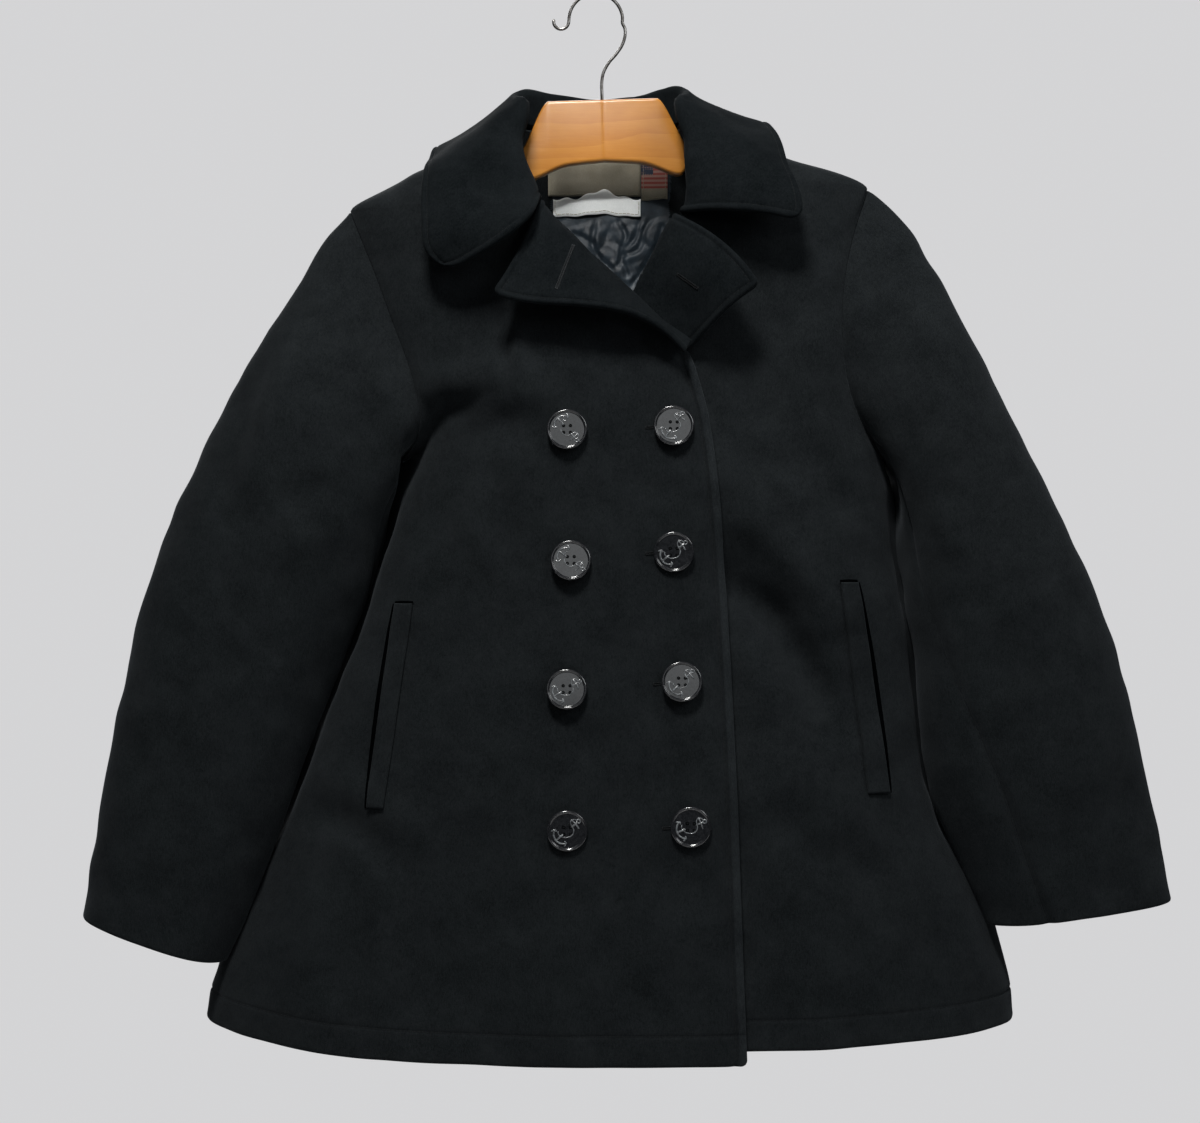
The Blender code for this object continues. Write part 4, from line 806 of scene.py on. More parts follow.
def thread(name, colour):
    """Twisted thread, painted a little lighter on top of each twist: a painted highlight."""
    made = Finish(name, colour, 0.8, Sheen_Weight=0.03, Sheen_Roughness=0.4, Specular_IOR_Level=0.15)
    twist = made.bands("DIAGONAL", "SIN", Scale=1500.0)
    lighter = tuple(min(1.0, c * 1.6 + 0.001) for c in colour)
    return made.done(made.ramp(twist, (0.2, colour), (0.9, lighter)), (twist, 0.0001, 0.5))


def woven_label(name, colour, shade, flag=False):
    """A plain woven label, bare of words. The flag has a star field and stripes over a plain foot."""
    made = Finish(name, colour, 0.75, Sheen_Weight=0.2, Sheen_Roughness=0.5)
    weave = made.noise(1.0, 2.0, 0.5, (1400.0, 1400.0, 700.0))
    plain = made.ramp(made.blend((weave, 0.4), (made.noise(60.0), 0.6)), (0.35, shade), (0.65, colour))
    return made.done(flag_colours(made, plain) if flag else plain, (weave, 0.0002, 0.5))


def flag_colours(made, plain):
    """Seven red and six white stripes with a blue star field in the corner, on the label's upper part."""
    across, _, up = made.add("SeparateXYZ", {0: made.add("TexCoord", {}).outputs["Generated"]}).outputs
    height = made.maths("DIVIDE", made.maths("SUBTRACT", up, FLAG_FOOT), 1 - FLAG_FOOT)
    stripe = made.maths("MODULO", made.maths("FLOOR", made.maths("MULTIPLY", height, FLAG_STRIPES)), 2.0)
    field = made.maths("MULTIPLY", made.maths("GREATER_THAN", height, FLAG_FIELD_STRIPES / FLAG_STRIPES),
                       made.maths("LESS_THAN", across, FLAG_FIELD))
    stars = made.add("TexVoronoi", {"Vector": made.place, "Scale": 700.0, "Randomness": 0.0})
    blue = made.mix(made.maths("LESS_THAN", stars.outputs["Distance"], 0.28), FLAG_BLUE, FLAG_WHITE)
    flag = made.mix(field, made.mix(stripe, FLAG_RED, FLAG_WHITE), blue)
    return made.mix(made.maths("GREATER_THAN", height, 0.0), plain, flag)


def varnished_wood():
    """Warm wood under a glossy varnish, its grain along the board."""
    made = Finish("varnished_wood_look", WOOD_MID, 0.36, Coat_Weight=0.45, Coat_Roughness=0.16,
                  Specular_IOR_Level=0.4)
    grain = made.bands("Z", "SAW", Vector=made.stretched((0.16, 1.0, 1.0)), Scale=21.0, Distortion=9.0,
                       Detail=3.0, Detail_Scale=1.6)
    pores = made.noise(1.0, 3.0, 0.7, (60.0, 900.0, 900.0))
    tone = made.blend((grain, 0.22), (pores, 0.34), (made.noise(28.0), 0.44))
    return made.done(made.ramp(tone, (0.22, WOOD_DARK), (0.5, WOOD_MID), (0.8, WOOD_LIGHT)),
                     (pores, 0.0002, 0.25), Roughness=made.maths("MULTIPLY_ADD", pores, 0.15, 0.24))


def drawn_steel():
    """Old drawn wire with dull patches."""
    made = Finish("hook_steel_look", STEEL_MID, 0.34, Metallic=1.0)
    patches, lines = made.noise(120.0, 4.0, 0.7), made.noise(1.0, 2.0, 0.5, (2600.0, 2600.0, 120.0))
    return made.done(made.ramp(patches, (0.35, STEEL_DARK), (0.60, STEEL_MID)), (lines, 0.0001, 0.4),
                     Roughness=made.maths("MULTIPLY_ADD", patches, 0.3, 0.22))


def floor_paint():
    made = Finish("floor_paint", FLOOR_TONE, 0.8)
    lighter = tuple(c * 1.03 for c in FLOOR_TONE)
    return made.done(made.ramp(made.noise(3.0), (0.3, FLOOR_TONE), (0.7, lighter)))


# ---- Rods, stitches and other trims ----

TIP_REACH, TIP_SIZE = 0.7, 0.45     # a rod's blunt tip: how far out, and how wide, as shares of the radius


def arc(centre, radius, degrees):
    """Points round a centre, at angles in degrees."""
    x, y = centre
    return [(x + radius * math.cos(turn), y + radius * math.sin(turn)) for turn in np.radians(degrees)]


def tube_faces(count, sides):
    """Faces of a closed tube of rings, whose places follow each other."""
    faces = [(low + i, low + (i + 1) % sides, low + sides + (i + 1) % sides, low + sides + i)
             for low in range(0, (count - 1) * sides, sides) for i in range(sides)]
    return faces + [tuple(range(sides))[::-1], tuple(range((count - 1) * sides, count * sides))]


def rod(points, radius, sides=6, round_ends=True):
    """Places and faces of a closed rod along points."""
    points = np.array(points, float)
    runs = unit(np.gradient(points, axis=0))
    across = unit(np.cross(runs[0], UP if abs(runs[0][2]) < 0.8 else (1.0, 0, 0)))
    rings = []
    for point, run in zip(points, runs):
        across = unit(across - run * (across @ run))
        rings.append((point, 1.0, across, np.cross(run, across)))
    if round_ends:
        reach = radius * TIP_REACH
        rings.insert(0, (points[0] - runs[0] * reach, TIP_SIZE, *rings[0][2:]))
        rings.append((points[-1] + runs[-1] * reach, TIP_SIZE, *rings[-1][2:]))
    turns = np.arange(sides)[:, None] * WHOLE / sides
    places = [centre + radius * size * (np.cos(turns) * a + np.sin(turns) * b)
              for centre, size, a, b in rings]
    return np.concatenate(places), tube_faces(len(rings), sides)


def joined(parts):
    """Places and faces of several shapes as one."""
    faces, count = [], 0
    for places, part_faces in parts:
        faces.extend(tuple(i + count for i in face) for face in part_faces)
        count += len(places)
    return np.concatenate([places for places, _ in parts]), faces


def evenly(path, pitch):
    """Points at even steps along a path."""
    passed = np.concatenate(([0.0], np.cumsum(np.linalg.norm(np.diff(path, axis=0), axis=1))))
    at = np.linspace(0, passed[-1], max(int(passed[-1] / pitch), 1) + 1)
    return np.stack([np.interp(at, passed, path[:, k]) for k in range(3)], axis=1)


def add_stitches(name, paths, look, slot=MELTON_SLOT):
    """Rows of stitches: a short rod in each pitch of every path."""
    parts = []
    for path in paths:
        places = evenly(path, STITCH_PITCH)
        for start, end in zip(places, places[1:]):
            gap = (end - start) * (1 - STITCH_LENGTH / STITCH_PITCH) / 2
            parts.append(rod((start + gap, (start + end) / 2, end - gap), THREAD_RADIUS, sides=5))
    return add_mesh(name, *joined(parts), [look], slot)


def surface_of(*pieces):
    """One surface of several pieces, to lay other things on."""
    places, faces = [], []
    for piece in pieces:
        count = len(places)
        places.extend(piece.matrix_world @ vertex.co for vertex in piece.data.vertices)
        faces.extend([count + i for i in polygon.vertices] for polygon in piece.data.polygons)
    return BVHTree.FromPolygons(places, faces)


def seat(surface, x, z, start_y=-1.0):
    """Where a line towards +Y from a start first meets a surface, or the nearest place, and the way out."""
    place, normal, _, _ = surface.ray_cast(Vector((x, start_y, z)), Vector((0, 1, 0)))
    if place is None:
        place, normal, _, _ = surface.find_nearest(Vector((x, start_y, z)))
    normal = unit(np.array(normal))
    return np.array(place), normal if normal[1] < 0 else -normal


def patch_grid(surface, corners, rows, columns, start_y=-1.0):
    """Points lying on a surface between four corners, top two then bottom two, and the mean way out."""
    top_start, top_end, low_start, low_end = np.array(corners)
    seats = []
    for down in rows:
        start, end = top_start + (low_start - top_start) * down, top_end + (low_end - top_end) * down
        seats.append([seat(surface, *(start + (end - start) * share), start_y) for share in columns])
    seats = np.array(seats)
    return seats[:, :, 0], unit(np.mean(seats[:, :, 1], axis=(0, 1)))


def rounded_corner(grid, row_edge, radius):
    """The grid with the corner between its last column and one of its end rows drawn in to a round."""
    distances = edge_distances(grid)
    u, v = [np.clip(1 - distances[name] / radius, 0, 1) for name in (row_edge, LAST_COLUMN)]
    down = unit(np.gradient(grid, axis=0)) * (1 if row_edge == FIRST_ROW else -1)
    pull_down, pull_back = [radius * a * (1 - np.sqrt(1 - b * b / 2)) for a, b in ((u, v), (v, u))]
    return grid + down * pull_down[..., None] - unit(np.gradient(grid, axis=1)) * pull_back[..., None]


def turn_out(mesh):
    """Turns the faces of a closed mesh to look outwards."""
    shape = bmesh.new()
    shape.from_mesh(mesh)
    bmesh.ops.recalc_face_normals(shape, faces=shape.faces)
    shape.to_mesh(mesh)
    shape.free()


# ---- Pocket welts, buttons and buttonholes ----

# Corners of each welt: the top two, then the bottom two
WELTS = {RIGHT: ((-0.1595, -0.498), (-0.1445, -0.498), (-0.180, -0.6585), (-0.166, -0.6585)),
         LEFT: ((0.193, -0.481), (0.2075, -0.481), (0.2145, -0.6475), (0.2325, -0.6475))}
WELT_ROWS, WELT_COLUMNS, WELT_ROW_STEP, WELT_COLUMN_STEP = 64, 13, 3 * MM, 2 * MM
WELT_LIFT, WELT_UNEVEN = 0.5 * MM, 0.3
WELT_OPEN, WELT_OPEN_FADE, WELT_END_FADE = 1.6 * MM, 9 * MM, 22 * MM   # it stands off along its opening
MOUTH_WIDTHS, MOUTH_TOP_WIDTHS = (5.2 * MM, 2.0 * MM), (2.4 * MM, 2.0 * MM)   # in the middle, at the ends
MOUTH_TUCK, MOUTH_RISE, MOUTH_SUNK, MOUTH_BOW = 1.0 * MM, 0.5 * MM, 1.0 * MM, 0.7
MOUTH_ROWS, MOUTH_COLUMNS = 60, 7
BUTTON_RADIUS, BUTTON_THICKNESS, BUTTON_LIFT = 16 * MM, 3.5 * MM, 0.15 * MM
# From the middle of a button's back round its rim to the middle of its face: shares of radius and thickness
BUTTON_PROFILE = rows_of("""0 0; 0.8 0; 0.93 0.1; 0.99 0.32; 1 0.5; 0.995 0.74; 0.965 0.93; 0.93 1
0.9 0.97; 0.875 0.84; 0.855 0.745; 0.835 0.72; 0.82 0.72; 0 0.72""")
BUTTON_SIDES, HOLE_SIDES, THREAD_SIDES, SHARP_FROM = 72, 16, 7, math.radians(38)
LEAN_CLEAR = 0.8            # share of a leaning button's radius that stands off, times its angle
BUTTON_HOLE_RADIUS = 1.35 * MM
HOLE_PLACES = [(x, y) for x in (-2.7 * MM, 2.7 * MM) for y in (-2.7 * MM, 2.7 * MM)]
SEWN_HEIGHTS, SEWN_FULL = (0.8 * MM, 0.35 * BUTTON_THICKNESS, 0.50 * BUTTON_THICKNESS), 0.72
# Each button: its name, place, how far its top leans back and its left side leans back, in degrees, and
# the turn of its anchor
BUTTONS = (
    ("a1", -0.0225, -0.361, 6.5, 2.0, -140), ("a2", -0.0194, -0.464, 10.0, 1.0, -128),
    ("a3", -0.0224, -0.5645, 11.5, -1.0, -60), ("a4", -0.0223, -0.674, 1.5, 2.0, -50),
    ("b1", 0.0613, -0.358, 7.6, 0.0, -35), ("b2", 0.0611, -0.457, 1.0, -2.0, -52),
    ("b3", 0.0671, -0.559, 11.5, 1.5, -45), ("b4", 0.0739, -0.671, 1.5, -1.0, -68),
)
RELIEF_SUNK, RELIEF, ANCHOR_SCALE = 0.10 * MM, 0.62 * MM, 1.12 * MM
# The anchor's shank, stock, foot, two flukes and rope, as points (x, y)
ANCHOR = """0 9.1 0 6.8 0 4.3; -3.9 7.3 0 7.6 3.9 7.3; 0 -4.2 0 -7 0 -9.9
-6.9 -8.2 -6.1 -5.8 -4.6 -5.9; 6.9 -8.2 6.1 -5.8 4.6 -5.9
-1.3 9.9 -3.2 8.6 -3.6 6.4 -1.8 4.9 1.9 4.2 3.9 2.3 4.4 -0.6 3 -3.4 1.2 -5.2 -1.6 -6.2 -3.6 -5.3"""
BUTTONHOLE_WIDTH, WHIP_PITCH, WHIP_LIFT = 2.2 * MM, 0.75 * MM, 0.25 * MM
WHIP_RADIUS, WHIP_SIDES, WHIP_INNER, WHIP_TOP, WHIP_SUNK = 0.33 * MM, 5, 0.16, 0.34, 0.1 * MM
BAR_RADIUS, BAR_PAST, BAR_LIFT = 0.4 * MM, 0.5 * MM, 0.2 * MM
LAPEL_HOLES = {RIGHT: ((-0.0180, -0.2150), (-0.0306, -0.2510)), LEFT: ((0.0650, -0.2375), (0.0800, -0.2490))}


def shade_strip(surface, ends, outward, widths):
    """Places and faces of a near-black strip beside an edge of a welt, widest in its middle: painted shade
    over the cloth there.
    """
    (start, end), outward = np.array(ends), np.array(outward)
    across = np.linspace(0, 1, MOUTH_COLUMNS)
    rows = []
    for share in np.linspace(0, 1, MOUTH_ROWS):
        near = start + (end - start) * share - outward * MOUTH_TUCK
        width = widths[1] + (widths[0] - widths[1]) * math.sin(math.pi * share) ** MOUTH_BOW + MOUTH_TUCK
        rows.append([seat(surface, *(near + outward * width * part))[0] for part in across])
    grid = np.array(rows)
    out = normals_of(grid, TO_FRONT)
    outer = grid + out * (MOUTH_RISE * (1 - (2 * across - 1) ** 2))[None, :, None]
    return closed_wall(outer, grid - out * MOUTH_SUNK, TO_FRONT)


def add_welt(side, surface, look, shade_look):
    """A pocket's welt, and strips of painted shade beside its opening and along its top."""
    corners = WELTS[side]
    grid, out = patch_grid(surface, corners, np.linspace(0, 1, WELT_ROWS), np.linspace(0, 1, WELT_COLUMNS))
    grid = respaced(grid, 0, COLLAR_LINES[:6], COLLAR_LINES[:6], WELT_ROW_STEP)
    grid = respaced(grid, 1, COLLAR_LINES[:5], COLLAR_LINES[:5], WELT_COLUMN_STEP)
    distances = edge_distances(grid)
    beside = 1 - smooth_step(0, WELT_OPEN_FADE, distances[FIRST_COLUMN if side == RIGHT else LAST_COLUMN])
    open_lift = WELT_OPEN * beside * smooth_step(0, WELT_END_FADE, least(distances, (FIRST_ROW, LAST_ROW)))
    grid = grid + out * (WELT_LIFT + CLOTH + open_lift)[..., None]
    made = add_skin(f"pocket_welt_{SIDE_WORD[side]}", grid, normals_of(grid, TO_FRONT), CLOTH, EDGES, [look],
                    lambda points, away: unevenness(points) * WELT_UNEVEN)
    strips = [shade_strip(surface, corners[0 if side == RIGHT else 1::2], (side, 0), MOUTH_WIDTHS),
              shade_strip(surface, corners[:2], (0, 1), MOUTH_TOP_WIDTHS)]
    add_mesh(f"pocket_painted_shade_{SIDE_WORD[side]}", *joined(strips), [shade_look], MELTON_SLOT)
    return made


def anchor_relief():
    """A plain anchor in low relief on a button's face, in its own axes."""
    height = BUTTON_THICKNESS * BUTTON_PROFILE[-1][1] - RELIEF_SUNK
    shank, stock, foot, fluke, other_fluke, rope = [row.reshape(-1, 2) for row in rows_of(ANCHOR)]
    ring, bow = arc((0, 10.4), 1.25, np.linspace(0, 360, 13)), arc((0, -3.6), 6.6, np.linspace(205, 335, 12))
    lines = ((ring, 1, 6, False), (shank, 1.2), (stock, 1.1), (foot, 1.3), (bow, 1.25), (fluke, 1.1),
             (other_fluke, 1.1), (smooth_path(rope), 0.75, 5))
    return joined([rod([(x * ANCHOR_SCALE, y * ANCHOR_SCALE, height) for x, y in line], RELIEF * share, *form)
                   for line, share, *form in lines])


def button_mesh(looks):
    """A turned button with a raised rim and four sewing holes cut through."""
    places, rings = [], []
    for share, height in BUTTON_PROFILE:
        turns = np.linspace(0, 360, BUTTON_SIDES if share else 1, endpoint=False)
        ring = arc((0, 0), share * BUTTON_RADIUS, turns)
        rings.append(len(places) + np.arange(BUTTON_SIDES) % len(ring))
        places.extend((x, y, height * BUTTON_THICKNESS) for x, y in ring)
    faces = [list(dict.fromkeys(map(int, (lower[i - 1], lower[i], upper[i], upper[i - 1]))))
             for lower, upper in zip(rings, rings[1:]) for i in np.arange(1, BUTTON_SIDES + 1) % BUTTON_SIDES]
    blank_mesh = new_mesh("button_blank", places, faces)
    turn_out(blank_mesh)
    drills = joined([rod([(x, y, z * BUTTON_THICKNESS) for z in (-2, 2)], BUTTON_HOLE_RADIUS,
                         HOLE_SIDES, round_ends=False) for x, y in HOLE_PLACES])
    blank = add_object("button_blank", blank_mesh, ride=False)
    cutter = add_object("button_cutter", new_mesh("button_drills", *drills), ride=False)
    cut = blank.modifiers.new("holes", "BOOLEAN")
    cut.operation, cut.object = "DIFFERENCE", cutter
    bpy.context.view_layer.update()
    whole = bpy.data.meshes.new_from_object(blank.evaluated_get(bpy.context.evaluated_depsgraph_get()))
    for thing in (blank, cutter):
        bpy.data.objects.remove(thing, do_unlink=True)
    whole.materials.clear()
    for finish in looks:
        whole.materials.append(finish)
    whole.shade_smooth()
    whole.set_sharp_from_angle(angle=SHARP_FROM)
    return whole


def with_relief(mesh, relief, turn):
    """A copy of the button with its relief turned on it."""
    made = bmesh.new()
    made.from_mesh(mesh)
    c, s = math.cos(math.radians(turn)), math.sin(math.radians(turn))
    places, faces = relief
    vertices = [made.verts.new((x * c - y * s, x * s + y * c, z)) for x, y, z in places]
    for face in faces:
        raised = made.faces.new([vertices[i] for i in face])
        raised.smooth, raised.material_index = True, 1
    copy = new_mesh("button", [], [], mesh.materials)
    made.to_mesh(copy)
    made.free()
    return copy


def add_buttons(surface, looks, thread_look):
    """The eight buttons, and the threads that fill their holes nearly to the face."""
    blank, relief = button_mesh(looks), anchor_relief()
    threads, thread_faces = joined([rod([(x, y, z) for z in SEWN_HEIGHTS], BUTTON_HOLE_RADIUS * SEWN_FULL,
                                        THREAD_SIDES) for x, y in HOLE_PLACES])
    for name, x, z, *leans, turn in BUTTONS:
        place, out = seat(surface, x, z)
        lean, side_lean = np.radians(leans)
        face = Vector((math.sin(side_lean), -1.0, math.tan(lean))).normalized()
        axes = face.to_track_quat("Z", "Y").to_matrix()
        back = max(abs(lean), abs(side_lean)) * BUTTON_RADIUS * LEAN_CLEAR
        placing = Matrix.Translation(Vector(place + out * (BUTTON_LIFT + back))) @ axes.to_4x4()
        mesh = with_relief(blank, relief, turn)
        mesh.transform(placing)
        button = add_object(f"button_{name}_turned", mesh)
        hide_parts(f"button_{name}")
        places = [placing @ Vector(point) for point in threads]
        add_mesh(f"button_{name}_thread", places, thread_faces, [thread_look], MELTON_SLOT)


def add_buttonhole(name, surface, start, end, look):
    """A worked buttonhole: thread whipped over both sides of its slit, with a bar across each end."""
    start, end = np.array(start), np.array(end)
    steps = evenly(np.array([(x, 0, z) for x, z in (start, end)]), WHIP_PITCH)
    path = [place + out * WHIP_LIFT for place, out in (seat(surface, x, z) for x, _, z in steps)]
    run, out = unit(path[-1] - path[0]), seat(surface, *(start + end) / 2)[1]
    side = unit(np.cross(run, out)) * BUTTONHOLE_WIDTH
    parts = [rod((place + way * WHIP_INNER, place + way * WHIP_TOP + out * WHIP_LIFT,
                  place + way / 2 - out * WHIP_SUNK), WHIP_RADIUS, WHIP_SIDES)
             for place in path for way in (side, -side)]
    for place in (path[0] - run * BAR_PAST, path[-1] + run * BAR_PAST):
        bar = (place - side / 2, place + out * BAR_LIFT, place + side / 2)
        parts.append(rod(bar, BAR_RADIUS, WHIP_SIDES))
    add_mesh(name, *joined(parts), [look], MELTON_SLOT)


# ---- Lining and labels in the neck ----

LINING_STEP, LINING_MARGINS, LINING_INSET = 1.6 * MM, (0.4 * MM, 0.2 * MM), 1.5 * MM
LINING_LEAST, RAY_START_Y = 24, -0.1     # rays that must meet the lining's solid in a row, and their start
LINING_EVEN = 4             # rows each way over which its side edges are evened
PUFF_ABOVE = 0.25           # share of the puff that the quilt keeps above the gathers
LINING_FRONT, LINING_BACK, FACING_FRONT, LINING_LOWEST = 0.4 * MM, 0.72 * MM, 1.2 * MM, -0.6 * MM
LINING_FADE = 5 * MM
QUILT, QUILT_SLOPE, QUILT_PUFF = 24 * MM, 0.7, 1.3 * MM     # across one diamond of the quilting
GATHERED_Z = (-0.172, -0.186)
CRUMPLE, CRUMPLE_X, CRUMPLE_Z, CRUMPLE_BEND = 0.5 * MM, 260, (190, 230), 3      # turns per metre, in radians
FACING_LEFT_X, FACING_RIGHT_X = -0.0375, 0.0612
FACING_LOW_Z, FACING_SLOPE, FACING_MIDDLE_X = -0.161, 0.25, 0.011
# Valleys between the lining's gathers, with fuller banks
LINING_VALLEYS = strokes("""
-0.6 -178 -3 -196 2 -207 12 -217 2.4 3; 19.3 -178 24.9 -190 21 -204 26.2 -223 2.2 3.4
38 -173 33.2 -190 24.9 -201 19.3 -214 2.2 3.2; 51.2 -172 41.5 -183 36 -200 24.9 -206 2.4 3
-18 -188 -3 -196 2.4 2.2; 56 -183 49.8 -200 38.8 -220 31.8 -229 2.6 2.6; 8.3 -190 13.8 -180 2.2 1.8
-30 -205 -10 -226 8 -246 3 2.8; 60 -212 44 -236 30 -252 3 2.6; 15 -226 17 -250 15 -290 3 2.4
-45 -230 -20 -262 -8 -292 3.4 2.6; 64 -240 45 -268 38 -292 3.4 2.4""")
VALLEY_BANK, BANK_WIDTH = 0.55, 2.6
LABEL_WALL, LABEL_STEP = 0.55 * MM, 1.5 * MM
SEWN_WAVE = 0.35            # share of its waves that a label has at its sewn top
LABEL_HEM, LABEL_HEM_AT, LABEL_HEM_WIDTH = 0.25 * MM, 1.6 * MM, 0.5 * MM
# Labels: node and slot; left, right, top and foot; how far they stand off and their waves further, the
# turns and shift of the waves; a hump's place along the label, its width and its height at the top and foot
LABELS = (
    ("neck_label", "label_cotton", (-0.0402, 0.0374, -0.128, -0.158), (0.0010, 0.0010, 1.2, 0.4),
     (0.4, 0.3, 0.0, 0.0005)),
    ("flag_label", "label_cotton", (0.0380, 0.0600, -0.128, -0.161), (0.0012, 0.0008, 0.8, 2.4),
     (0.8, 0.3, 0.0, 0.0012)),
    ("care_label", "label_white", (-0.0360, 0.0374, -0.1600, -0.1745), (0.0026, 0.0024, 1.7, 3.6),
     (0.56, 0.19, 0.0075, 0.0022)),
)
RIPPLE, RIPPLES = 0.16, 2.6     # of a label's ends: share of the hump, and how many to one wave


def add_lining(look, wool_look):
    """Quilted satin over the back of the neck, gathered, between two facings of the coat's own cloth."""
    surface = surface_of(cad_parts["back_lining"])
    low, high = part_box("back_lining")
    xs = np.arange(low[0] + LINING_MARGINS[0], high[0] - LINING_MARGINS[1], LINING_STEP)
    found = []
    for z in np.arange(high[2] - LINING_MARGINS[0], low[2] + LINING_MARGINS[1], -LINING_STEP):
        hits = [(x, surface.ray_cast(Vector((x, RAY_START_Y, z)), Vector((0, 1, 0)))[0]) for x in xs]
        hits = np.array([(x, place.y) for x, place in hits if place is not None])
        if len(hits) > LINING_LEAST:
            found.append((z, hits))
    starts, ends = [evened(np.array([hits[end, 0] for _, hits in found]), LINING_EVEN) for end in (0, -1)]
    grid = []
    for (z, hits), start, end in zip(found, starts + LINING_INSET, ends - LINING_INSET):
        line = np.linspace(start, end, len(xs))
        grid.append(np.stack((line, np.interp(line, *hits.T), np.full(len(xs), z)), axis=1))
    grid = np.array(grid)
    x, z = grid[..., 0], grid[..., 2]
    seams = [np.abs(np.sin(math.pi * (x + slope * z) / QUILT)) for slope in (QUILT_SLOPE, -QUILT_SLOPE)]
    below, bend = smooth_step(*GATHERED_Z, z), CRUMPLE_BEND * np.sin(z * CRUMPLE_Z[0])
    lift = QUILT_PUFF * np.minimum(*seams) ** 0.6 * (PUFF_ABOVE + (1 - PUFF_ABOVE) * below) + LINING_FRONT
    for points, width, depth in LINING_VALLEYS:
        off, _ = off_path(points, x, z)
        lift = lift - depth * below * (bell(off, width) - VALLEY_BANK * bell(off, width * BANK_WIDTH))
    lift = lift + CRUMPLE * below * np.sin(x * CRUMPLE_X + bend) * np.sin(z * CRUMPLE_Z[1] + 2.2)
    lift = np.maximum(lift, LINING_LOWEST) * smooth_step(0, LINING_FADE, least(edge_distances(grid)))
    facing = (x < FACING_LEFT_X) | (x > FACING_RIGHT_X)
    facing = facing & (z > FACING_LOW_Z - FACING_SLOPE * np.abs(x - FACING_MIDDLE_X))
    front = grid + TO_FRONT * np.where(facing, FACING_FRONT, lift)[..., None]
    places, faces = closed_wall(front, grid + TO_BACK * LINING_BACK, TO_FRONT)
    finish = np.zeros(len(faces), int)
    lined = facing[:-1, :-1].reshape(-1)
    finish[:len(lined)] = lined
    return add_mesh("back_lining_quilted", places, faces, [look, wool_look], "quilted_satin", "back_lining",
                    finish), front


def add_labels(looks, stitch_look):
    """The three bare labels, with the soft waves of sewn ones: each one's piece, outer grid and stitches."""
    surface = surface_of(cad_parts["back_lining"])
    labels = []
    for node, slot, (left, right, top, foot), (stand, off, turns, shift), hump in LABELS:
        rows, columns = [np.linspace(0, 1, int(size / LABEL_STEP)) for size in (top - foot, right - left)]
        corners = ((left, top), (right, top), (left, foot), (right, foot))
        grid, _ = patch_grid(surface, corners, rows, columns, RAY_START_Y)
        share, down = np.meshgrid(columns, rows)
        wave = np.sin(WHOLE * turns * share + shift)
        grid[..., 1] -= stand + off * (0.5 + 0.5 * wave) * (SEWN_WAVE + (1 - SEWN_WAVE) * down)
        rise = bell(share - hump[0], hump[1]) + RIPPLE * np.sin(WHOLE * RIPPLES * turns * share + shift)
        grid[..., 2] += (hump[2] * (1 - down) + hump[3] * down) * rise
        near = least(edge_distances(grid))
        dip = rounded_dip(near, LABEL_WALL / 2) + LABEL_HEM * bell(near - LABEL_HEM_AT, LABEL_HEM_WIDTH)
        front = grid + TO_FRONT * (LABEL_WALL - dip)[..., None]
        piece = add_mesh(node + "_woven", *closed_wall(front, grid, TO_FRONT), [looks[node]], slot, node)
        path = np.concatenate((grid[:-1, 1], grid[-2, 1:-1], grid[-2:0:-1, -2])) + TO_FRONT * LABEL_WALL
        labels.append((piece, front, add_stitches(node + "_stitches", [path], stitch_look, slot)))
    return labels


# ---- Hanger ----

HANGER_X, HANGER_PIVOT_Z, HANGER_TILT = 0.0055, -0.087, math.radians(-1.72)
HANGER_HALF, HANGER_ROUND = 6 * MM, 3.0 * MM
# Half the board: how far out from its middle, and its top and bottom edges
HANGER = Table("out top bottom", """
0 -86.5 -137; 30 -86.5 -139.5; 45 -86.6 -144.5; 48.5 -90 -146.2; 60 -112.2 -150.2; 63 -118 -150
66 -123.5 -145.5; 68.5 -127 -142; 76 -127.5 -144; 100 -128.5 -156; 145 -141.5 -171.2; 180 -159.6 -186
200 -170.4 -196""")
HANGER_REACH, HANGER_STEPS, HANGER_JOINT = 0.200, 161, (-0.25 * MM, 0.0, 0.25 * MM)
HANGER_END_FROM, HANGER_END, HANGER_BLUNT = 0.194, 6.2 * MM, 0.02      # its ends are rounded
END_TALL = 0.4              # share of its height that the very ends keep
CORNER_STEPS = 6            # round each of its four edges
JOINT_DEPTH = 0.985         # share of the board's thickness at the joint of its halves
HOOK_WIRE, HOOK_TOP_Z, HOOK_STEP, HOOK_SIDES = 2.6 * MM, 2.6 * MM, 1.0 * MM, 14
HOOK_BEND, HOOK_CURL = ((-0.0002, -0.0207), 0.0220), ((-0.0286, -0.0218), 0.0062)   # centre and radius
HOOK_NECK = [(0.0050, -0.0862), (0.0048, -0.0800), (0.0047, -0.0725), (0.0060, -0.0640), (0.0105, -0.0555),
             (0.0165, -0.0485), (0.0212, -0.0415), (0.0236, -0.0345), (0.0238, -0.0280)]


def tilted(out, y, z):
    """A point of the board after it has tilted about the foot of its hook."""
    high, c, s = z - HANGER_PIVOT_Z, math.cos(HANGER_TILT), math.sin(HANGER_TILT)
    return HANGER_X + out * c + high * s, y, HANGER_PIVOT_Z - out * s + high * c


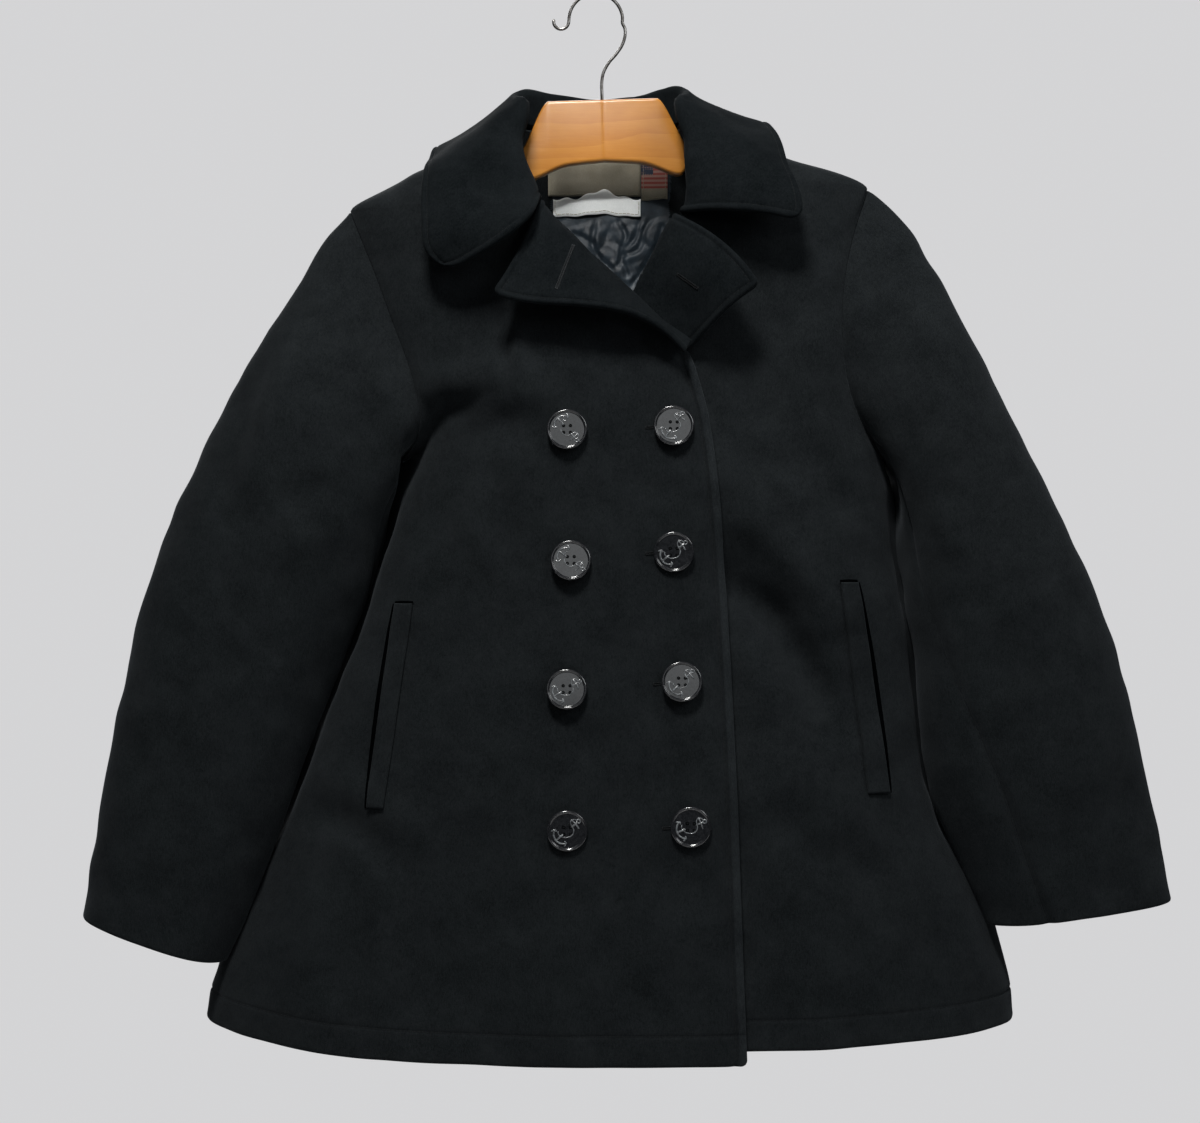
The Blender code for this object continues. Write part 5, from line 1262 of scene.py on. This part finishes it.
def add_hanger_board(look):
    """The wooden board: rounded edges and ends, and the joint of its two halves."""
    stations = np.linspace(-HANGER_REACH, HANGER_REACH, HANGER_STEPS)
    stations = np.unique(np.round(np.concatenate((stations, HANGER_JOINT)), 6))
    places = []
    for out in stations:
        top, bottom = HANGER.read("top", abs(out)), HANGER.read("bottom", abs(out))
        end = math.sqrt(max(1 - max(abs(out) - HANGER_END_FROM, 0) ** 2 / HANGER_END ** 2, HANGER_BLUNT))
        middle, tall = (top + bottom) / 2, (top - bottom) / 2 * (END_TALL + (1 - END_TALL) * end)
        deep = HANGER_HALF * end * (1.0 if out else JOINT_DEPTH)
        for corner_y, corner_z, first in ((1, 1, 0), (1, -1, 1), (-1, -1, 2), (-1, 1, 3)):
            for turn in QUARTER * (1 - np.linspace(0, 1, CORNER_STEPS) - first):
                y = corner_y * (deep - HANGER_ROUND * end) + HANGER_ROUND * end * math.cos(turn)
                z = middle + corner_z * (tall - HANGER_ROUND) + HANGER_ROUND * math.sin(turn)
                places.append(tilted(out, y, z))
    faces = tube_faces(len(stations), len(places) // len(stations))
    piece = add_mesh("hanger_board_wood", places, faces, [look], "varnished_wood", "hanger_board")
    turn_out(piece.data)


def add_hook(look):
    """The wire hook, bent smoothly from the board to its curled end."""
    bend, curl = arc(*HOOK_BEND, range(-6, 175, 12)), arc(*HOOK_CURL, range(-10, -215, -30))
    path = smooth_path(HOOK_NECK + bend + curl)
    path = np.stack((path[:, 0], 0 * path[:, 0], np.minimum(path[:, 1], HOOK_TOP_Z - HOOK_WIRE / 2)), axis=1)
    shape = rod(evenly(path, HOOK_STEP), HOOK_WIRE / 2, HOOK_SIDES)
    turn_out(add_mesh("hanger_hook_wire", *shape, [look], "hook_steel", "hanger_hook").data)


# ---- The coat's panels ----

# Distances of the grid's lines from an edge
FREE_LINES, COLLAR_LINES, SEWN_LINES, HEM_LINES = [[mm * MM for mm in row] for row in rows_of("""
0 0.3 0.9 1.7 2.7 3.9 5.2 6.3 7.2 8 8.8 9.8 11 13 15.5 18.5
0 0.3 0.9 1.7 2.6 3.6 4.6 5.6 6.6 7.8 9.6
0.08 0.8 1.7 3 4.8
0 0.3 0.9 1.7 2.7 4.4 8 12 16 19.5 21.6 22.8 24 25.2 26.4 28.5""")]
HIDDEN_LINES = (0.0, 2.0 * MM)
BACK_LAP = 0.7 * MM         # the halves of the back meet past the middle
HEM_FADE, EDGE_FADE, CUFF_FADE = (0.022, 0.045), (0.030, 0.060), (0.034, 0.060)   # where turned cloth ends
FACING_WIDTH, FACING_HEM = 0.075, 0.048
EDGE_GROOVE_FADE = (0.01, -0.02)    # above and below the break
COLLAR_UNEVEN, LAPEL_UNEVEN = 0.7, 0.6


def add_body(side, face, finishes):
    """One front or one half of the back, with its hem and, on a front, its turned edge."""
    in_front = face == FRONT
    grid = body_grid(side, face)
    if not in_front:
        grid[:, -1, 0] -= side * BACK_LAP
    grid = respaced(grid, 0, HEM_LINES, SEWN_LINES, CLOTH_STEP)
    grid = respaced(grid, 1, SEWN_LINES, FREE_LINES if in_front else SEWN_LINES, CLOTH_STEP)
    distances = edge_distances(grid)
    turned = 1 - smooth_step(*HEM_FADE, distances[FIRST_ROW])
    free, sewn = [FIRST_ROW], [FIRST_COLUMN, LAST_ROW]
    if in_front:
        turned = np.maximum(turned, 1 - smooth_step(*EDGE_FADE, distances[LAST_COLUMN]))
    (free if in_front else sewn).append(LAST_COLUMN)

    def relief(points, away):
        lift = unevenness(points) - STITCH_GROOVE * bell(away[FIRST_ROW] - HEM_STITCH, STITCH_GROOVE_WIDTH)
        if in_front:
            z, edge = points[..., 2], away[LAST_COLUMN]
            dip = groove_dip(edge, EDGE_STITCH, EDGE_GROOVE, EDGE_GROOVE_WIDTH, EDGE_FULLNESS)
            dip = dip - EDGE_SWELL * bell(edge - EDGE_SWELL_AT, EDGE_SWELL_WIDTH)
            lift = lift - dip * smooth_step(*[BREAK_Z[side] + off for off in EDGE_GROOVE_FADE], z)
            low = smooth_step(*SIDE_VALLEY_START, z) * smooth_step(*SIDE_VALLEY_END, z)
            lift = lift - SIDE_VALLEY * bell(away[FIRST_COLUMN] - SIDE_VALLEY_AT, SIDE_VALLEY_WIDTH) * low
        return lift

    def lined(away):
        inside = away[FIRST_ROW] > FACING_HEM
        return inside & (away[LAST_COLUMN] > FACING_WIDTH) if in_front else inside

    # The rim below the break, between these distances from the edge, is painted paler as a highlight
    def painted_rim(away, z):
        edge = away[LAST_COLUMN]
        return (edge > HIGHLIGHT_RIM_FROM) & (edge < HIGHLIGHT_RIM_TO) & (z < BREAK_Z[side] - BREAK_CLEAR)

    normals = normals_of(grid, TO_FRONT if in_front else TO_BACK)
    if in_front:
        grid = rounded_corner(grid, FIRST_ROW, HEM_CORNER_ROUND)
    return add_skin(f"{face}_{SIDE_WORD[side]}", grid, normals, CLOTH + (TURNED - CLOTH) * turned, free,
                    finishes, relief, sewn, CREASES[(side, FRONT) if in_front else BACK], lined=lined,
                    painted_rim=painted_rim if in_front else None)


def add_sleeve(side, part, first, last, finishes):
    """The top or under half of a sleeve, between two of its seams."""
    out = np.array((side, 0, 0.6)) * (1 if part == "top" else -1)
    grid = sleeve_grid(side, first, last)
    lap = grid[:1] + np.array((-side * ARMHOLE_LAP, 0, 0)) - normals_of(grid, out)[:1] * ARMHOLE_TUCK
    grid = respaced(np.concatenate((lap, grid)), 0, SEWN_LINES, HEM_LINES, CLOTH_STEP)
    grid = respaced(grid, 1, SEWN_LINES, SEWN_LINES, CLOTH_STEP)
    turned = 1 - smooth_step(*CUFF_FADE, edge_distances(grid)[LAST_ROW])

    def relief(points, away):
        from_seam = away[FIRST_ROW] - ARMHOLE_LAP
        lift = unevenness(points) * smooth_step(0, SEAM_FADE, from_seam)
        return lift - SEAM_DEPTH * bell(from_seam, SEAM_WIDTH)

    return add_skin(f"{part}_sleeve_{SIDE_WORD[side]}", grid, normals_of(grid, out),
                    CLOTH + (TURNED - CLOTH) * turned, [LAST_ROW], finishes, relief,
                    [FIRST_COLUMN, LAST_COLUMN], CREASES[side, "sleeve"], seam_depth=SLEEVE_SEAM[side],
                    lined=lambda away: away[LAST_ROW] > CUFF_FADE[0])


def add_turned(node, grid, end_lines, towards, rounds, uneven, finishes):
    """The collar or a lapel, stitched round its free edges: its last column, and the rows with a round."""
    grid = respaced(grid, 0, COLLAR_LINES, end_lines, COLLAR_STEP)
    grid = respaced(grid, 1, HIDDEN_LINES, COLLAR_LINES, COLLAR_STEP)
    normals = normals_of(grid, towards)
    for row_edge, radius in rounds.items():
        grid = rounded_corner(grid, row_edge, radius)
    return add_skin(node, grid + normals * DOUBLE / 2, normals, DOUBLE, [*rounds, LAST_COLUMN], finishes,
                    lambda points, away: unevenness(points) * uneven, stitched=True)


def add_sheet(piece, grid, held, rests_on, with_pieces=(), straight=None):
    """straight is the column that runs down the cut where the others go round an armhole. It is not used.
    """
    down = lengths_along(grid, 0)[-1]
    width = float(lengths_along(grid, 1)[:, -1].max())


# ---- Put together ----

wool = melton("black_melton_look", WOOL_DARK, WOOL_LIGHT)
lining_look = satin()
sewing = thread("black_thread_look", THREAD_BLACK)
# The collar and lapels take a darker copy of the wool: painted shade
shaded_collar_wool = melton("collar_painted_shade_look", COLLAR_SHADED_DARK, COLLAR_SHADED_PALE, COLLAR_SHEEN, 0.03)
hole_looks = {RIGHT: thread("lapel_thread_look", LAPEL_THREAD), LEFT: sewing}
# A paler copy of the wool: painted highlight for the rim of the fronts' edges
rim_highlight_wool = melton("rim_painted_highlight_look", RIM_HIGHLIGHT_DARK, RIM_HIGHLIGHT_PALE)
shade_look = melton("pocket_shade_look", SHADE_DARK, SHADE_LIGHT, 0.0, 0.0)
cloths = [wool, lining_look, rim_highlight_wool]
bodies = {(side, face): add_body(side, face, cloths) for side in (RIGHT, LEFT) for face in (FRONT, BACK)}
sleeves = {(side, part): add_sleeve(side, part, first, last, cloths[:2]) for side in (RIGHT, LEFT)
           for part, first, last in (("top", BACK_SEAM_STEP - SLEEVE_STEPS, FRONT_SEAM_STEP),
                                     ("under", FRONT_SEAM_STEP, BACK_SEAM_STEP))}
rounds = {FIRST_ROW: COLLAR_ROUND[RIGHT], LAST_ROW: COLLAR_ROUND[LEFT]}
collar = add_turned("collar", collar_grid(), COLLAR_LINES, TO_BACK, rounds, COLLAR_UNEVEN, [shaded_collar_wool])
lapels = {side: add_turned(f"lapel_{SIDE_WORD[side]}", lapel_grid(side), SEWN_LINES, TO_FRONT,
                           {FIRST_ROW: LAPEL_ROUND[side]}, LAPEL_UNEVEN, [shaded_collar_wool])
          for side in (RIGHT, LEFT)}

fronts_surface = surface_of(bodies[RIGHT, FRONT][0], bodies[LEFT, FRONT][0])
welts = {side: add_welt(side, fronts_surface, wool, shade_look) for side in (RIGHT, LEFT)}
# The buttons' second finish, on their relief, is pale: a painted highlight
add_buttons(fronts_surface, [moulded_plastic("button_black_look", BUTTON_DARK, BUTTON_WORN, 0.18),
                             moulded_plastic("button_relief_highlight_look", RELIEF_HIGHLIGHT_DARK, RELIEF_HIGHLIGHT_PALE, 0.30)], sewing)
add_hanger_board(varnished_wood())
add_hook(drawn_steel())

# Sewing: the fronts' edges and hem, the collar and the lapels. The rows of stitches start and stop this
# many lines of the grid from the ends, where a crossing row or a covered edge begins.
FROM_CORNER, FROM_SIDE, FROM_ROLL, FROM_COLLAR_SEAM, FROM_BREAK = 2, 3, 14, 16, 8
edge_line, hem_line = -1 - FREE_LINES.index(EDGE_STITCH), HEM_LINES.index(HEM_STITCH)
line = COLLAR_LINES.index(COLLAR_STITCH)
stitches = {}
for side in (RIGHT, LEFT):
    outer, lapel = bodies[side, FRONT][1], lapels[side][1]
    edge = outer[FROM_CORNER:, edge_line]
    rows = [edge[edge[:, 2] < BREAK_Z[side] - BREAK_CLEAR], outer[hem_line, FROM_SIDE:edge_line]]
    stitches[side, FRONT] = add_stitches(f"front_{SIDE_WORD[side]}_stitches", rows, sewing)
    rows = [lapel[line, FROM_ROLL:-line], lapel[line:-FROM_BREAK, -1 - line]]
    stitches[side, "lapel"] = add_stitches(f"lapel_{SIDE_WORD[side]}_stitches", rows, sewing)
for side in (RIGHT, LEFT):
    hem = bodies[side, BACK][1][hem_line, FROM_SIDE:-FROM_SIDE]
    stitches[side, BACK] = add_stitches(f"back_{SIDE_WORD[side]}_stitches", [hem], sewing)
outer = collar[1]
ends = [outer[row, FROM_COLLAR_SEAM:-line] for row in (line, -1 - line)]
stitches["collar"] = add_stitches("collar_stitches", [outer[line:-line, -1 - line], *ends], sewing)

# Buttonholes: four on the right front, one on each lapel
for name, x, z, *_ in BUTTONS[4:]:
    add_buttonhole(f"buttonhole_{name}", fronts_surface, (x - 0.0215, z - 0.0012), (x - 0.002, z), sewing)
for side, ends in LAPEL_HOLES.items():
    surface = surface_of(lapels[side][0])
    add_buttonhole(f"buttonhole_lapel_{SIDE_WORD[side]}", surface, *ends, hole_looks[side])

lining = add_lining(lining_look, wool)
labels = add_labels({"neck_label": woven_label("neck_label_look", LABEL_PLAIN, LABEL_SHADE),
                     "flag_label": woven_label("flag_label_look", LABEL_PLAIN, LABEL_SHADE, flag=True),
                     "care_label": woven_label("care_label_look", CARE_PLAIN, CARE_SHADE)},
                    thread("label_thread_look", LABEL_SHADE))

# Each cloth's grid is measured down and across, and the sizes are not kept
backs = [bodies[side, BACK][0].name for side in (RIGHT, LEFT)]
for side, back in zip((RIGHT, LEFT), backs):
    front = bodies[side, FRONT][0].name
    for face in (FRONT, BACK):
        add_sheet(*bodies[side, face], "hung", ["hanger_board_wood"], [stitches[side, face]], straight=-1)
    add_sheet(*sleeves[side, "top"], "hung", [front])
    add_sheet(*sleeves[side, "under"], "hung", [back])
    add_sheet(*lapels[side], "folded", [front], [stitches[side, "lapel"]])
    add_sheet(*welts[side], "folded", [front])
add_sheet(*collar, "folded", backs, [stitches["collar"]])
add_sheet(*lining, "hung", backs)
for piece, grid, sewn in labels:
    add_sheet(piece, grid, "laid", [lining[0].name], [sewn])

# ---- Stage ----

FLOOR_RADIUS, FLOOR_Z, FLOOR_SIDES = 1.5, -1.3, 96


def add_lamp(name, kind, place, aim, power, **settings):
    data = bpy.data.lights.new(name, kind)
    data.energy = power
    for setting, value in settings.items():
        setattr(data, setting, value)
    lamp = add_object(name, data, ride=False)
    lamp.location = place
    lamp.rotation_euler = (Vector(aim) - Vector(place)).to_track_quat("-Z", "Y").to_euler()


def add_area(name, place, aim, size, power, colour=(1, 1, 1)):
    add_lamp(name, "AREA", place, aim, power, shape="RECTANGLE", size=size[0], size_y=size[1], color=colour)


def add_world():
    """A pale backdrop that lights the coat only a little, so that the lamps give it its shades."""
    world = bpy.data.worlds.new("studio")
    bpy.context.scene.world = world
    world.use_nodes = True
    nodes, links = world.node_tree.nodes, world.node_tree.links
    background, soft = nodes["Background"], nodes.new("ShaderNodeBackground")
    for node, colour in ((background, BACKDROP), (soft, AMBIENT)):
        node.inputs["Color"].default_value = (*colour, 1.0)
        node.inputs["Strength"].default_value = 1.0
    mix, path = nodes.new("ShaderNodeMixShader"), nodes.new("ShaderNodeLightPath")
    links.new(path.outputs["Is Camera Ray"], mix.inputs[0])
    links.new(soft.outputs[0], mix.inputs[1])
    links.new(background.outputs[0], mix.inputs[2])
    links.new(mix.outputs[0], nodes["World Output"].inputs["Surface"])


turns = np.linspace(0, 360, FLOOR_SIDES, endpoint=False)
rim = [(x, y, FLOOR_Z) for x, y in arc((0, 0), FLOOR_RADIUS, turns)]
floor_mesh = new_mesh("floor", rim, [tuple(range(FLOOR_SIDES))], [floor_paint()])
add_object("floor", floor_mesh, ride=False)
add_area("key", (-0.24, -1.15, 1.55), (0.0, 0.0, -0.20), (0.50, 0.42), 66.0, (1.0, 0.99, 0.97))
add_area("card", (-0.2, -2.3, 0.60), (0.0, 0.0, -0.25), (1.6, 0.75), 4.6, (0.96, 0.99, 1.0))
add_area("fill", (1.3, -1.0, 0.55), (0.3, 0.0, -0.40), (0.9, 0.7), 11.0, (0.97, 0.99, 1.0))
add_area("back", (-0.4, 2.0, 1.0), (0.0, 0.0, -0.45), (1.6, 1.2), 40.0)
# A small lamp for what lies deep in the neck
add_lamp("neck_lamp", "SPOT", (-0.12, -1.20, 0.40), (0.008, 0.02, -0.175), 55.0,
         spot_size=math.radians(5.8), spot_blend=0.8, shadow_soft_size=0.04)
add_world()

camera_data = bpy.data.cameras.new("camera")
camera_data.sensor_width, camera_data.lens = 36.0, 69.51
camera = add_object("camera", camera_data, ride=False)
camera.location = (VIEW_X, VIEW_Y, VIEW_Z)
camera.rotation_euler = (QUARTER, 0, 0)
bpy.context.scene.camera = camera
bpy.context.scene.view_settings.view_transform = "Standard"
